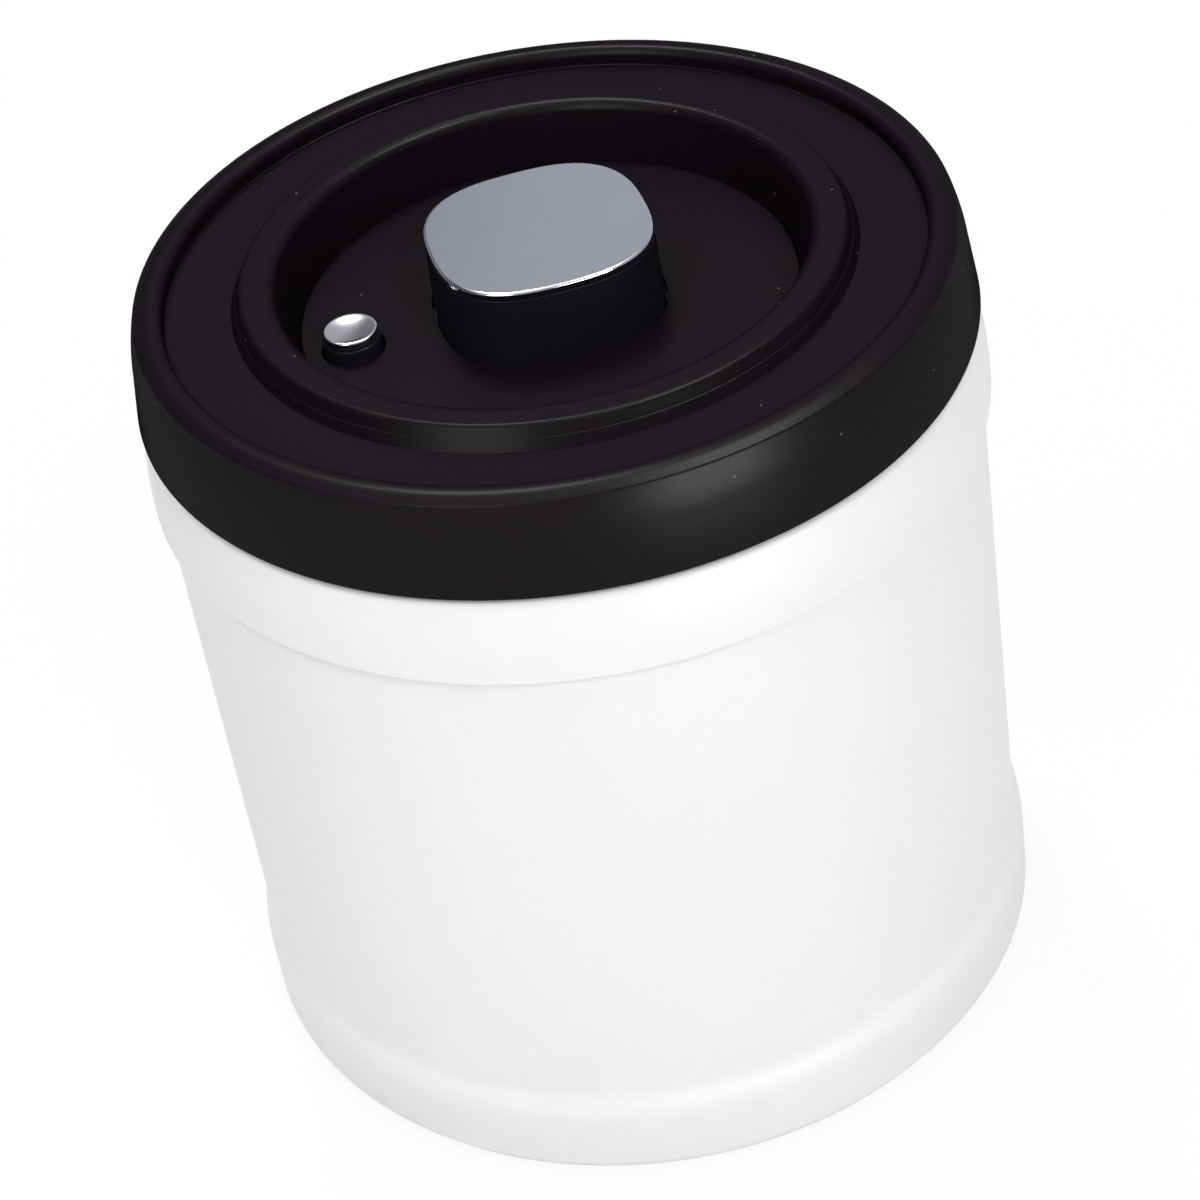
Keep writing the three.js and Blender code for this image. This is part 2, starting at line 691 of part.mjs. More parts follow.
function piston() {
  const slotInner = SPRING_RADIUS - SPRING_SLOT / 2;
  const slotOuter = SPRING_RADIUS + SPRING_SLOT / 2;
  const slotTop = pistonFoot + SPRING_SLOT_DEPTH;
  const grooveInner = pistonRadius - RING_SECTION - SEAT / 2;
  const grooveLow = pistonFoot + PISTON_HEIGHT / 2 - RING_SECTION / 2 - SEAT;
  const grooveHigh = grooveLow + RING_SECTION + 2 * SEAT;
  const body = turnedOnAxis([
    [0, pistonFoot],
    [slotInner, pistonFoot],
    [slotInner, slotTop],
    [slotOuter, slotTop],
    [slotOuter, pistonFoot],
    [pistonRadius, pistonFoot],
    [pistonRadius, grooveLow],
    [grooveInner, grooveLow],
    [grooveInner, grooveHigh],
    [pistonRadius, grooveHigh],
    [pistonRadius, pistonTop],
    [0, pistonTop],
  ], INNER);
  const low = pistonFoot - SINK;
  const high = pistonTop + SINK;
  const places = pistonScrewPlaces();
  const airCircle = (EXHAUST_FLAP + VALVE_STEM) / 2;
  return cut(body, [
    rod(VALVE_STEM + SEAT, low, high, TINY),
    ...rodsAt(ringPlaces(AIR_HOLES, airCircle, Math.PI / AIR_HOLES), AIR_HOLE, low, high),
    ...rodsAt(places, PISTON_SCREW_SHANK + SEAT, low, high),
    ...rodsAt(places, PISTON_SCREW_HEAD + SEAT, low, pistonScrewSeat + SEAT),
  ]);
}

function pistonRing() {
  const outer = bore - SEAT;
  const inner = pistonRadius - RING_SECTION + SEAT / 2;
  const foot = pistonFoot + PISTON_HEIGHT / 2 - RING_SECTION / 2;
  const top = foot + RING_SECTION;
  return turned([[inner, foot], [outer, foot], [outer, top], [inner, top]], INNER);
}

function pistonScrew() {
  const [head, height] = [PISTON_SCREW_HEAD, PISTON_SCREW_HEAD_HEIGHT];
  return screw(PISTON_SCREW_SHANK, PISTON_SCREW_LENGTH, pistonScrewSeat, head, height);
}

function pressSpring() {
  const top = pistonFoot + SPRING_SLOT_DEPTH - SEAT;
  return spring(SPRING_RADIUS, SPRING_WIRE, SPRING_TURNS, cylinderFloor + SEAT, top);
}

// Release button, turned round its own axis

const releaseTop = wellFloor + RELEASE_TRAVEL;
const releaseUnder = releaseTop - RELEASE_BODY_HEIGHT;
const sealTop = plugFoot - SEAT;
const sealFoot = sealTop - SEAL_THICKNESS;
const clipTop = sealFoot - SEAT;
const stemFoot = clipTop - CLIP_GRIP;

function releaseBody() {
  return turnedOnAxis([
    [0, stemFoot],
    [RELEASE_STEM, stemFoot],
    [RELEASE_STEM, releaseUnder],
    [RELEASE_RADIUS, releaseUnder],
    [RELEASE_RADIUS, releaseTop - SEAT],
    [RELEASE_RADIUS - SEAT, releaseTop],
    [0, releaseTop],
  ], SMALL);
}

function releaseCap() {
  const radius = RELEASE_RADIUS - RELEASE_CAP_INSET;
  const foot = releaseTop + SEAT;
  const top = foot + RELEASE_CAP_HEIGHT;
  const round = RELEASE_CAP_HEIGHT / 3;
  const dishRadius = radius - round;
  return turnedOnAxis([
    [0, foot],
    [radius, foot],
    ...arc(dishRadius, top - round, round, 0, Math.PI / 2, 2),
    [dishRadius / 2, top - RELEASE_DISH * 3 / 4],
    [0, top - RELEASE_DISH],
  ], SMALL);
}

function releaseSeal() {
  const hole = RELEASE_STEM + SEAT;
  const radius = VENT_RADIUS + SEAL_OVERLAP;
  return turned([[hole, sealFoot], [radius, sealFoot], [radius, sealTop], [hole, sealTop]], SMALL);
}

function releaseClip() {
  const hole = RELEASE_STEM + SEAT;
  const holeFloor = stemFoot - SEAT;
  const radius = hole + CLIP_WALL;
  return turnedOnAxis([
    [0, holeFloor - CLIP_WALL],
    [radius, holeFloor - CLIP_WALL],
    [radius, clipTop],
    [hole, clipTop],
    [hole, holeFloor],
    [0, holeFloor],
  ], SMALL);
}

function releaseSpring() {
  const radius = (RELEASE_STEM + guideBore) / 2;
  const foot = plateTop + SEAT + GUIDE_FLOOR + SEAT;
  return spring(radius, RELEASE_SPRING_WIRE, RELEASE_SPRING_TURNS, foot, releaseUnder - SEAT);
}

// Materials

function material(color, roughness, metalness) {
  return new THREE.MeshStandardMaterial({ color, roughness, metalness });
}

const coatedSteel = () => material(0xf0f0ee, 0.45, 0);
const plainSteel = () => material(0xb9bcc0, 0.35, 1);
const blackPlastic = () => material(0x1b191b, 0.5, 0);
const greyPlastic = () => material(0x3a393c, 0.55, 0);
const chrome = () => material(0xc9ccd2, 0.12, 1);
const rubber = () => material(0x2a2a2c, 0.8, 0);
const silicone = () => material(0xd9d9d4, 0.6, 0);

// Assembly

function add(group, name, geometry, look) {
  const mesh = new THREE.Mesh(geometry, look);
  mesh.name = name;
  group.add(mesh);
  return mesh;
}

function addEach(group, name, places, makeGeometry, makeLook) {
  places.forEach(([x, y], i) => {
    add(group, `${name}_${i + 1}`, makeGeometry(), makeLook()).position.set(x, y, 0);
  });
}

const canisterBody = new THREE.Group();
add(canisterBody, 'body_shell', bodyShell(), coatedSteel());
add(canisterBody, 'base_plate', basePlate(), coatedSteel());
add(canisterBody, 'foot_ring', footRing(), rubber());

const lid = new THREE.Group();
add(lid, 'lid_cover', lidCover(), blackPlastic());
add(lid, 'pump_housing', pumpHousing(), blackPlastic());
add(lid, 'lid_plug', lidPlug(), greyPlastic());
add(lid, 'lid_gasket', lidGasket(), silicone());
add(lid, 'cylinder_base', cylinderBase(), greyPlastic());
add(lid, 'cylinder_oring', cylinderOring(), rubber());
add(lid, 'intake_valve', umbrellaValve(baseCupFoot, cylinderFloor, INTAKE_FLAP), silicone());
addEach(lid, 'lid_screw', ringPlaces(LID_SCREWS, screwCircle, Math.PI / LID_SCREWS), lidScrew, plainSteel);

const pressButton = new THREE.Group();
add(pressButton, 'press_shell', pressShell(), blackPlastic());
add(pressButton, 'press_cap', pressCap(), chrome());
add(pressButton, 'piston', piston(), greyPlastic());
add(pressButton, 'piston_ring', pistonRing(), rubber());
add(pressButton, 'exhaust_valve', umbrellaValve(pistonFoot, pistonTop, EXHAUST_FLAP), silicone());
add(pressButton, 'press_spring', pressSpring(), plainSteel());
addEach(pressButton, 'piston_screw', pistonScrewPlaces(), pistonScrew, plainSteel);

const releaseButton = new THREE.Group();
releaseButton.position.set(-releasePlace, 0, 0);
add(releaseButton, 'release_guide', releaseGuide(), greyPlastic());
add(releaseButton, 'release_body', releaseBody(), blackPlastic());
add(releaseButton, 'release_cap', releaseCap(), chrome());
add(releaseButton, 'release_seal', releaseSeal(), silicone());
add(releaseButton, 'release_clip', releaseClip(), greyPlastic());
add(releaseButton, 'release_spring', releaseSpring(), plainSteel());

lid.add(pressButton, releaseButton);

const canister = new THREE.Group();
canister.add(canisterBody, lid);

export default canister;
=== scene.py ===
import math

import bmesh
import bpy
from mathutils import Matrix, Vector


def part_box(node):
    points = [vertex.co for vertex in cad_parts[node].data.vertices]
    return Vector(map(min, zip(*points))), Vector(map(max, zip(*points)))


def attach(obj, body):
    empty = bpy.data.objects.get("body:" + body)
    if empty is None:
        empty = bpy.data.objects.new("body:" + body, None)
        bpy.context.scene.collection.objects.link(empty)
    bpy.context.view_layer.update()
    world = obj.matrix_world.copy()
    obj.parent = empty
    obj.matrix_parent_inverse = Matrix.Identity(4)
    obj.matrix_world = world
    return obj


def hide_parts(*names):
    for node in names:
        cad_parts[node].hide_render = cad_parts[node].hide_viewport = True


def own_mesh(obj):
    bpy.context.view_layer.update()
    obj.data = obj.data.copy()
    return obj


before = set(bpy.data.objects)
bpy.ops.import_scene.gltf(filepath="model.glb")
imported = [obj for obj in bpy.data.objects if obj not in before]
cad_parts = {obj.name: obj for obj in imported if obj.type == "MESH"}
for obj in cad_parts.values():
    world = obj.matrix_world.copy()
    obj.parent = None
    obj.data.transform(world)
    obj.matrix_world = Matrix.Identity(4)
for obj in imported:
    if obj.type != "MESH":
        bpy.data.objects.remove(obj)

# An airtight coffee canister with a hand pump in its lid.
# Sizes below are in millimetres and angles in radians. Meshes are made in metres, in the frame of the packed
# model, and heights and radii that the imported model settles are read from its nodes.

MM = 0.001
UPRIGHT = math.pi / 2
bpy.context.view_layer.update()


def top_of(node):
    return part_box(node)[1].z / MM


def foot_of(node):
    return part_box(node)[0].z / MM


def reach_of(node):
    """How far a node reaches from the canister's axis."""
    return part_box(node)[1].x / MM


def radius_of(node):
    low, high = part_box(node)
    return (high.x - low.x) / 2 / MM


def place_of(node):
    """Where the upright axis of a node stands."""
    low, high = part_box(node)
    return ((low.x + high.x) / 2 / MM, (low.y + high.y) / 2 / MM)


# Sizes that the pieces share: SEAT is the gap between seated pieces, CUT_PAST is how far a cutter runs past
# a face, JOIN is how far a post goes into its plate, and CRISP to FULL are the rounds of moulded edges.
SEAT = 0.3
CUT_PAST = 1
JOIN = 0.5
CRISP = 0.15
FINE = 0.2
SOFT = 0.3
FULL = 0.4

# Facets in a full turn
WALL_FACETS = 192
RING_FACETS = 160
PUMP_FACETS = 128
CAP_FACETS = 256
SMALL_FACETS = 64
SCREW_FACETS = 48
VENT_FACETS = 40
ROD_FACETS = 32
HOLE_FACETS = 24

# Sizes of the canister body
BODY_RADIUS = 63.3
BODY_WALL = 0.8
LOW_BAND_TOP = 17.9
LOW_BAND_HOLLOW = 8
LOW_BAND_ROUND = 10
TOP_BAND_MIDDLE = 103.4
TOP_BAND_CURVE = 50
TOP_BAND_REACH = 11
TOP_BAND_DROP = 1.55
TOP_BAND_UNDERCUT = 0.35
TOP_BAND_EDGE = 0.06
TOP_BAND_CREASE = 0.12
SHOULDER_ROUND = 1.3
NECK_OUTER = 60.6
NECK_WALL = 1
NECK_FILLET = 0.5
INNER_WALL_RINGS = (75, 45)
FOOT_ROUND = 1
FLANGE_WIDTH = 2.1
BASE_WALL = 0.8
BASE_RIM_WIDTH = 6.9
BASE_FOLD = 0.5
BASE_FOLD_INSIDE = 0.7
FOOT_RING_WIDTH = 4.5
FOOT_RING_ROUND = 0.35

# Sizes of the lid
SKIRT_RADIUS = 63.9
SKIRT_WALL = 1.6
SKIRT_DRAW = 1.1
SKIRT_CURVE = 28
SKIRT_STEEP = 1.48
SKIRT_BENT = 1.25
SKIRT_GAP = 0.8
SKIRT_FOOT_ROUND = 0.5
SKIRT_FOOT_BEVEL = 0.3
SKIRT_FOOT_LEAN = 0.05
COVER_WALL = 2
RIM_RISE = 2.95
RIM_INSET = 4.9
RIM_CREASE = 3.2
RIM_SLOPE = 0.47
RIM_SLOPE_LENGTH = 1.03
RIM_EDGE = 0.45
RIM_LIP = 1.5
RIM_WIDTH = 1.9
RIM_FILLET = 0.3
RING_FOOT_FLAT = 1
RING_FOOT_INSET = 0.1
RING_LEDGE_INSET = 0.89
RING_LEDGE_RISE = 1.48
RING_LEDGE_WIDTH = 0.12
RING_LEDGE_SLOPE = 0.05
RING_LEDGE_ROUND = 0.1
RING_TOP_INSET = 1.97
RING_TOP_ROUND = 0.9
RING_LIP = 1.8
RING_LIP_FLAT = 0.2
RING_WIDTH = 7.2
WELL_FLARE = 2.1
WELL_WALL = 2.1
DECK_WALL = 1.5
DECK_EDGE = 0.12
POST_RADIUS = 3
PLUG_WALL = 1.6
PLUG_ROUND = 1.1
PLUG_FILLET = 0.8
GROOVE_DEPTH = 2.2
GROOVE_ROUND = 0.25
GASKET_LIP_ROUND = 0.25
SCREW_HOLE = 1.6
SCREW_TIP_ROOM = 0.5
SCREW_DOME = 0.55
LID_SCREWS = 4
LID_SCREW_SHANK = 1.3
LID_SCREW_HEAD = 1.6

# Sizes of the buttons and the pump
BUTTON_POWER = 2.7
BUTTON_TAPER = 0.03
BUTTON_GAP = 0.25
BUTTON_WALL = 1.8
BUTTON_EDGE = 0.1
BUTTON_ROOF_ROUND = 0.5
CAP_ROUND = 0.95
CAP_FOOT_ROUND = 0.12
CYLINDER_WALL = 1.5
CUP_ROUND = 0.8
CUP_EDGE = 0.35
AIR_HOLE = 0.9
AIR_HOLES = 4
VALVE_STEM = 1.2
VALVE_BULB = 1.5
VALVE_BULB_RADIUS = 1.8
VALVE_HEAD = 1.2
VALVE_DOME = 0.8
FLAP_EDGE = 0.4
FLAP_TIP_ROUND = 0.1
PISTON_POST = 2.5
PISTON_SCREWS = 2
PISTON_SCREW_HOLE = 1.25
PISTON_SCREW_SHANK = 0.95
PISTON_SCREW_HEAD = 1.25
SPRING_RADIUS = 13
SPRING_WIRE = 1.1
SPRING_TURNS = 4
SPRING_SLOT = 2
RELEASE_PLAY = 0.45
RELEASE_STEM = 1.5
RELEASE_BODY_HEIGHT = 4.5
RELEASE_RIM = 0.37
RELEASE_DISH = 0.5
RELEASE_SPRING_WIRE = 0.7
RELEASE_SPRING_TURNS = 4
GUIDE_FLOOR = 1.4
VENT_RADIUS = 2.4

# Heights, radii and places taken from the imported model
band_radius = reach_of("body_shell")
mouth = top_of("body_shell")
shell_foot = foot_of("body_shell")
cover_under = mouth + SEAT
annulus = cover_under + COVER_WALL
rim_top = annulus + RIM_RISE
ring_top = top_of("lid_cover")
well_floor = top_of("pump_housing")
deck_under = well_floor - DECK_WALL
deck_radius = reach_of("pump_housing")
well_radius = deck_radius + SEAT
lip_radius = well_radius + WELL_FLARE
plug_radius = reach_of("lid_plug")
plug_foot = foot_of("lid_plug")
plate_top = plug_foot + PLUG_WALL
cylinder_outer = reach_of("cylinder_base") - CYLINDER_WALL - SEAT
cylinder_floor = foot_of("cylinder_base") + CYLINDER_WALL
button_half = reach_of("press_shell")
button_top = top_of("press_cap")
release_place = place_of("release_body")
release_radius = radius_of("release_body")
lid_screw_places = [place_of(f"lid_screw_{i}") for i in range(1, LID_SCREWS + 1)]
piston_screw_places = [place_of(f"piston_screw_{i}") for i in range(1, PISTON_SCREWS + 1)]


# Mesh helpers

# A round takes up at most ROUND_SHARE of the flats beside it, and FLAT_MARGIN, in lengths of the round,
# is where the point on each flat stands.
ROUND_SHARE = 0.4
FLAT_MARGIN = 1.2
ON_AXIS = 1e-6
SHARP_ANGLE = math.radians(32)


def arc(centre_radius, centre_height, radius, start, end, steps):
    """Points of an arc in the (radius, height) plane, ends included."""
    points = []
    for i in range(steps + 1):
        angle = start + (end - start) * i / steps
        points.append((centre_radius + radius * math.cos(angle), centre_height + radius * math.sin(angle)))
    return points


def corner_arc(at, before, after, size, steps):
    """Points that round off one corner, with a point on each side that keeps the flats flat."""
    u = before.normalized()
    v = after.normalized()
    half = u.angle(v) / 2
    reach = min(size / math.tan(half), ROUND_SHARE * before.length, ROUND_SHARE * after.length)
    radius = reach * math.tan(half)
    centre = at + (u + v).normalized() * radius / math.sin(half)
    start = at + u * reach - centre
    end = at + v * reach - centre
    points = [at + u * reach * FLAT_MARGIN]
    for i in range(steps + 1):
        points.append(centre + start.slerp(end, i / steps).normalized() * radius)
    points.append(at + v * reach * FLAT_MARGIN)
    return points


def rounded(corners, steps=5):
    """An outline with its (radius, height, round) corners rounded off; those without a round stay sharp."""
    points = []
    for i, corner in enumerate(corners):
        at = Vector(corner[:2])
        if len(corner) == 2:
            points.append(at)
            continue
        before = Vector(corners[i - 1][:2]) - at
        after = Vector(corners[(i + 1) % len(corners)][:2]) - at
        points.extend(corner_arc(at, before, after, corner[2], steps))
    return points


def squarish(angle):
    """How far the press button's rounded-square outline reaches at an angle, for a half width of 1."""
    powers = abs(math.cos(angle)) ** BUTTON_POWER + abs(math.sin(angle)) ** BUTTON_POWER
    return powers ** (-1 / BUTTON_POWER)


def turned(outline, facets, closes=True, stretch=None, place=(0, 0)):
    """A mesh turned round an upright axis. The outline runs with the material on its left."""
    mesh = bmesh.new()
    rings = []
    for radius, height in outline:
        if radius < ON_AXIS:
            rings.append([mesh.verts.new((place[0] * MM, place[1] * MM, height * MM))])
            continue
        ring = []
        for k in range(facets):
            angle = 2 * math.pi * k / facets
            out = radius * (stretch(angle) if stretch else 1)
            x = place[0] + out * math.cos(angle)
            y = place[1] + out * math.sin(angle)
            ring.append(mesh.verts.new((x * MM, y * MM, height * MM)))
        rings.append(ring)
    pairs = list(zip(rings, rings[1:]))
    if closes:
        pairs.append((rings[-1], rings[0]))
    for low, high in pairs:
        for k in range(facets):
            corners = [low[k % len(low)], low[(k + 1) % len(low)]]
            corners += [high[(k + 1) % len(high)], high[k % len(high)]]
            face = list(dict.fromkeys(corners))
            if len(face) > 2:
                mesh.faces.new(face)
    return mesh


def rod(radius, foot, top, facets=ROD_FACETS, place=(0, 0)):
    """A plain upright cylinder."""
    outline = [(0, foot), (radius, foot), (radius, top), (0, top)]
    return turned(outline, facets, closes=False, place=place)


def bar(width, depth, foot, top, place):
    """A small block that stands round an upright axis."""
    mesh = bmesh.new()
    bmesh.ops.create_cube(mesh, size=1)
    bmesh.ops.scale(mesh, vec=Vector((width, depth, top - foot)) * MM, verts=mesh.verts)
    middle = Vector((place[0], place[1], (foot + top) / 2)) * MM
    bmesh.ops.translate(mesh, vec=middle, verts=mesh.verts)
    return mesh


def coil(radius, wire, turns, foot, top, place):
    """A wire wound into an open spring, with its ends cut square."""
    steps_per_turn = 40
    sides = 12
    steps = turns * steps_per_turn
    low = foot + wire / 2
    rise = top - wire / 2 - low
    mesh = bmesh.new()
    rings = []
    for i in range(steps + 1):
        angle = 2 * math.pi * i / steps_per_turn
        ring = []
        for k in range(sides):
            side = 2 * math.pi * k / sides
            out = radius + wire / 2 * math.cos(side)
            height = low + rise * i / steps + wire / 2 * math.sin(side)
            x = place[0] + out * math.cos(angle)
            y = place[1] + out * math.sin(angle)
            ring.append(mesh.verts.new((x * MM, y * MM, height * MM)))
        rings.append(ring)
    for ring, following in zip(rings, rings[1:]):
        for k in range(sides):
            after = (k + 1) % sides
            mesh.faces.new([ring[k], following[k], following[after], ring[after]])
    mesh.faces.new(rings[0])
    mesh.faces.new(list(reversed(rings[-1])))
    return mesh


def new_object(name, mesh):
    data = bpy.data.meshes.new(name)
    mesh.to_mesh(data)
    mesh.free()
    thing = bpy.data.objects.new(name, data)
    bpy.context.scene.collection.objects.link(thing)
    return thing


def shaped(name, mesh, added=(), cut=()):
    """An object of the mesh with shapes added to it and then others cut out of it."""
    thing = new_object(name, mesh)
    tools = []
    for operation, shapes in (("UNION", added), ("DIFFERENCE", cut)):
        for shape in shapes:
            tool = new_object(name + "_tool", shape)
            modifier = thing.modifiers.new("shape", "BOOLEAN")
            modifier.operation = operation
            modifier.solver = "EXACT"
            modifier.object = tool
            tools.append(tool)
    bpy.context.view_layer.update()
    made = bpy.data.meshes.new_from_object(thing.evaluated_get(bpy.context.evaluated_depsgraph_get()))
    thing.modifiers.clear()
    thing.data = made
    for tool in tools:
        bpy.data.objects.remove(tool)
    return thing


def dress(thing, look, body, slot, *nodes):
    """Gives a new piece its finish, lets it ride on a body and stand for the CAD nodes named."""
    thing.data.shade_smooth()
    thing.data.set_sharp_from_angle(angle=SHARP_ANGLE)
    thing.data.materials.clear()
    thing.data.materials.append(look)
    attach(thing, body)
    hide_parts(*nodes)
    return thing


# Materials

# How fast the black plastic's gloss fades at low angles
SHEEN_FALL = 0.75


class Value:
    """A shader socket that can be used in plain sums; each sum adds a Math node."""

    def __init__(self, graph, socket):
        self.graph = graph
        self.socket = socket

    def math(self, operation, first, second):
        return self.graph.node("ShaderNodeMath", {"operation": operation}, {0: first, 1: second})

    def __add__(self, other):
        return self.math("ADD", self, other)

    def __radd__(self, other):
        return self.math("ADD", other, self)

    def __sub__(self, other):
        return self.math("SUBTRACT", self, other)

    def __rsub__(self, other):
        return self.math("SUBTRACT", other, self)

    def __mul__(self, other):
        return self.math("MULTIPLY", self, other)

    def __rmul__(self, other):
        return self.math("MULTIPLY", other, self)

    def __pow__(self, other):
        return self.math("POWER", self, other)

    def less_than(self, other):
        return self.math("LESS_THAN", self, other)

    def maximum(self, other):
        return self.math("MAXIMUM", self, other)


class Graph:
    """The nodes of one material, lamp or world."""

    def __init__(self, tree):
        self.tree = tree
        self.tree.nodes.clear()

    def add(self, kind, settings=None, inputs=None):
        made = self.tree.nodes.new(kind)
        for name, value in (settings or {}).items():
            setattr(made, name, value)
        for name, value in (inputs or {}).items():
            socket = made.inputs[name]
            if isinstance(value, Value):
                self.tree.links.new(value.socket, socket)
            else:
                socket.default_value = value
        return made

    def node(self, kind, settings=None, inputs=None, output=0):
        return Value(self, self.add(kind, settings, inputs).outputs[output])

    def place(self):
        return self.node("ShaderNodeTexCoord", output="Object")

    def noise(self, place, scale, detail=2, roughness=0.5):
        inputs = {"Vector": place, "Scale": scale, "Detail": detail, "Roughness": roughness}
        return self.node("ShaderNodeTexNoise", {}, inputs, "Fac")

    def stretched(self, place, scale):
        return self.node("ShaderNodeVectorMath", {"operation": "MULTIPLY"}, {0: place, 1: scale})

    def along(self, direction, azimuth):
        """How far a direction points to a level azimuth, given in degrees."""
        angle = math.radians(azimuth)
        inputs = {0: direction, 1: (math.cos(angle), math.sin(angle), 0)}
        return self.node("ShaderNodeVectorMath", {"operation": "DOT_PRODUCT"}, inputs, "Value")

    def blend(self, factor, first, second):
        inputs = {"Factor": factor, 6: first, 7: second}
        return self.node("ShaderNodeMix", {"data_type": "RGBA"}, inputs, 2)

    def span(self, value, low, high, to_low, to_high):
        inputs = {"Value": value, "From Min": low, "From Max": high, "To Min": to_low, "To Max": to_high}
        return self.node("ShaderNodeMapRange", {}, inputs)

    def bump(self, height, strength, distance):
        inputs = {"Height": height, "Strength": strength, "Distance": distance}
        return self.node("ShaderNodeBump", {}, inputs)


def grey(level):
    return (level, level, level, 1)


def new_material(name):
    material = bpy.data.materials.new(name)
    material.use_nodes = True
    return material, Graph(material.node_tree)


def close_material(graph, **inputs):
    """Ends a material in one Principled shader; underscores stand for the spaces in socket names."""
    named = {name.replace("_", " "): value for name, value in inputs.items()}
    shader = graph.node("ShaderNodeBsdfPrincipled", {}, named, "BSDF")
    graph.add("ShaderNodeOutputMaterial", {}, {"Surface": shader})


def white_coat():
    """Satin powder coat: faint orange peel, and a tone and gloss that drift slightly."""
    material, graph = new_material("white_powder_coat")
    place = graph.place()
    drift = graph.noise(place, 35, detail=3)
    peel = graph.noise(place, 900, detail=2)
    grain = graph.noise(place, 3200, detail=1)
    close_material(
        graph,
        Base_Color=graph.blend(drift, (0.875, 0.875, 0.87, 1), (0.9, 0.9, 0.9, 1)),
        Roughness=graph.span(drift + grain * 0.3, 0.4, 1, 0.44, 0.54),
        Normal=graph.bump(peel + grain * 0.4, 0.12, 0.0001),
        Specular_IOR_Level=0.4,
    )
    return material


def dust(graph, place, scale, size, share):
    """1 on rare small specks and 0 elsewhere."""
    inputs = {"Vector": place, "Scale": scale}
    cells = graph.add("ShaderNodeTexVoronoi", {}, inputs)
    near = Value(graph, cells.outputs["Distance"]).less_than(size)
    tint = graph.node("ShaderNodeSeparateColor", {}, {0: Value(graph, cells.outputs["Color"])})
    return near * tint.less_than(share)


def black_plastic(name, dark, pale, sheen, roughness, specks):
    """Near-black moulded plastic: fine grain that takes the gloss off at low angles, and a little dust."""
    material, graph = new_material(name)
    place = graph.place()
    cloud = graph.noise(place, 45, detail=4)
    grain = graph.noise(place, 2600, detail=2, roughness=0.6)
    speck = dust(graph, place, scale=190, size=0.035, share=specks)
    plain = graph.blend(cloud, dark, pale)
    facing = 1 - graph.node("ShaderNodeLayerWeight", {}, {"Blend": 0.5}, "Facing")
    close_material(
        graph,
        Base_Color=graph.blend(speck, plain, grey(0.1)),
        Roughness=graph.span(cloud + grain * 0.5, 0.4, 1.1, 0.6, 0.7),
        Normal=graph.bump(grain, 0.1, 0.00008),
        Specular_IOR_Level=0,
        Coat_Weight=facing ** SHEEN_FALL * graph.span(grain, 0.3, 0.7, 0.9 * sheen, 1.1 * sheen),
        Coat_Roughness=roughness,
    )
    return material


def chrome(name, tint, roughness):
    """Polished metal with hair-fine wipe marks and a faint haze."""
    material, graph = new_material(name)
    place = graph.place()
    wipes = graph.noise(graph.stretched(place, (300, 4200, 300)), 1, detail=3)
    haze = graph.noise(place, 60, detail=4)
    paler = tuple(min(1, 1.05 * c) for c in tint[:3]) + (1,)
    close_material(
        graph,
        Base_Color=graph.blend(haze, tint, paler),
        Metallic=1,
        Roughness=graph.span(haze + wipes * 0.5, 0.4, 1.1, roughness - 0.03, roughness + 0.04),
        Normal=graph.bump(wipes, 0.02, 0.00004),
    )
    return material


def bare_steel():
    """Bare pressed steel with fine marks across it."""
    material, graph = new_material("bare_steel")
    place = graph.place()
    lines = graph.noise(graph.stretched(place, (120, 3600, 400)), 1, detail=3)
    cloud = graph.noise(place, 70, detail=3)
    close_material(
        graph,
        Base_Color=graph.blend(cloud, (0.52, 0.53, 0.55, 1), (0.64, 0.65, 0.66, 1)),
        Metallic=1,
        Roughness=graph.span(lines + cloud * 0.4, 0.4, 1.1, 0.24, 0.42),
        Normal=graph.bump(lines, 0.06, 0.00005),
    )
    return material


def grey_plastic():
    """Dark grey inner mouldings with faint flow marks."""
    material, graph = new_material("grey_plastic")
    place = graph.place()
    flow = graph.noise(graph.stretched(place, (60, 60, 240)), 1, detail=3)
    grain = graph.noise(place, 2200, detail=2)
    close_material(
        graph,
        Base_Color=graph.blend(flow, (0.038, 0.037, 0.04, 1), (0.05, 0.049, 0.052, 1)),
        Roughness=graph.span(flow + grain * 0.4, 0.4, 1.1, 0.44, 0.58),
        Normal=graph.bump(grain, 0.1, 0.00008),
        Specular_IOR_Level=0.4,
    )
    return material


def soft_rubber(name, dark, pale, roughness):
    """Moulded rubber or silicone: matt, with a mealy bloom."""
    material, graph = new_material(name)
    place = graph.place()
    bloom = graph.noise(place, 180, detail=4)
    grain = graph.noise(place, 2800, detail=2)
    close_material(
        graph,
        Base_Color=graph.blend(bloom, dark, pale),
        Roughness=graph.span(bloom + grain * 0.4, 0.4, 1.1, roughness - 0.06, roughness + 0.08),
        Normal=graph.bump(grain, 0.12, 0.0001),
        Specular_IOR_Level=0.35,
    )
    return material


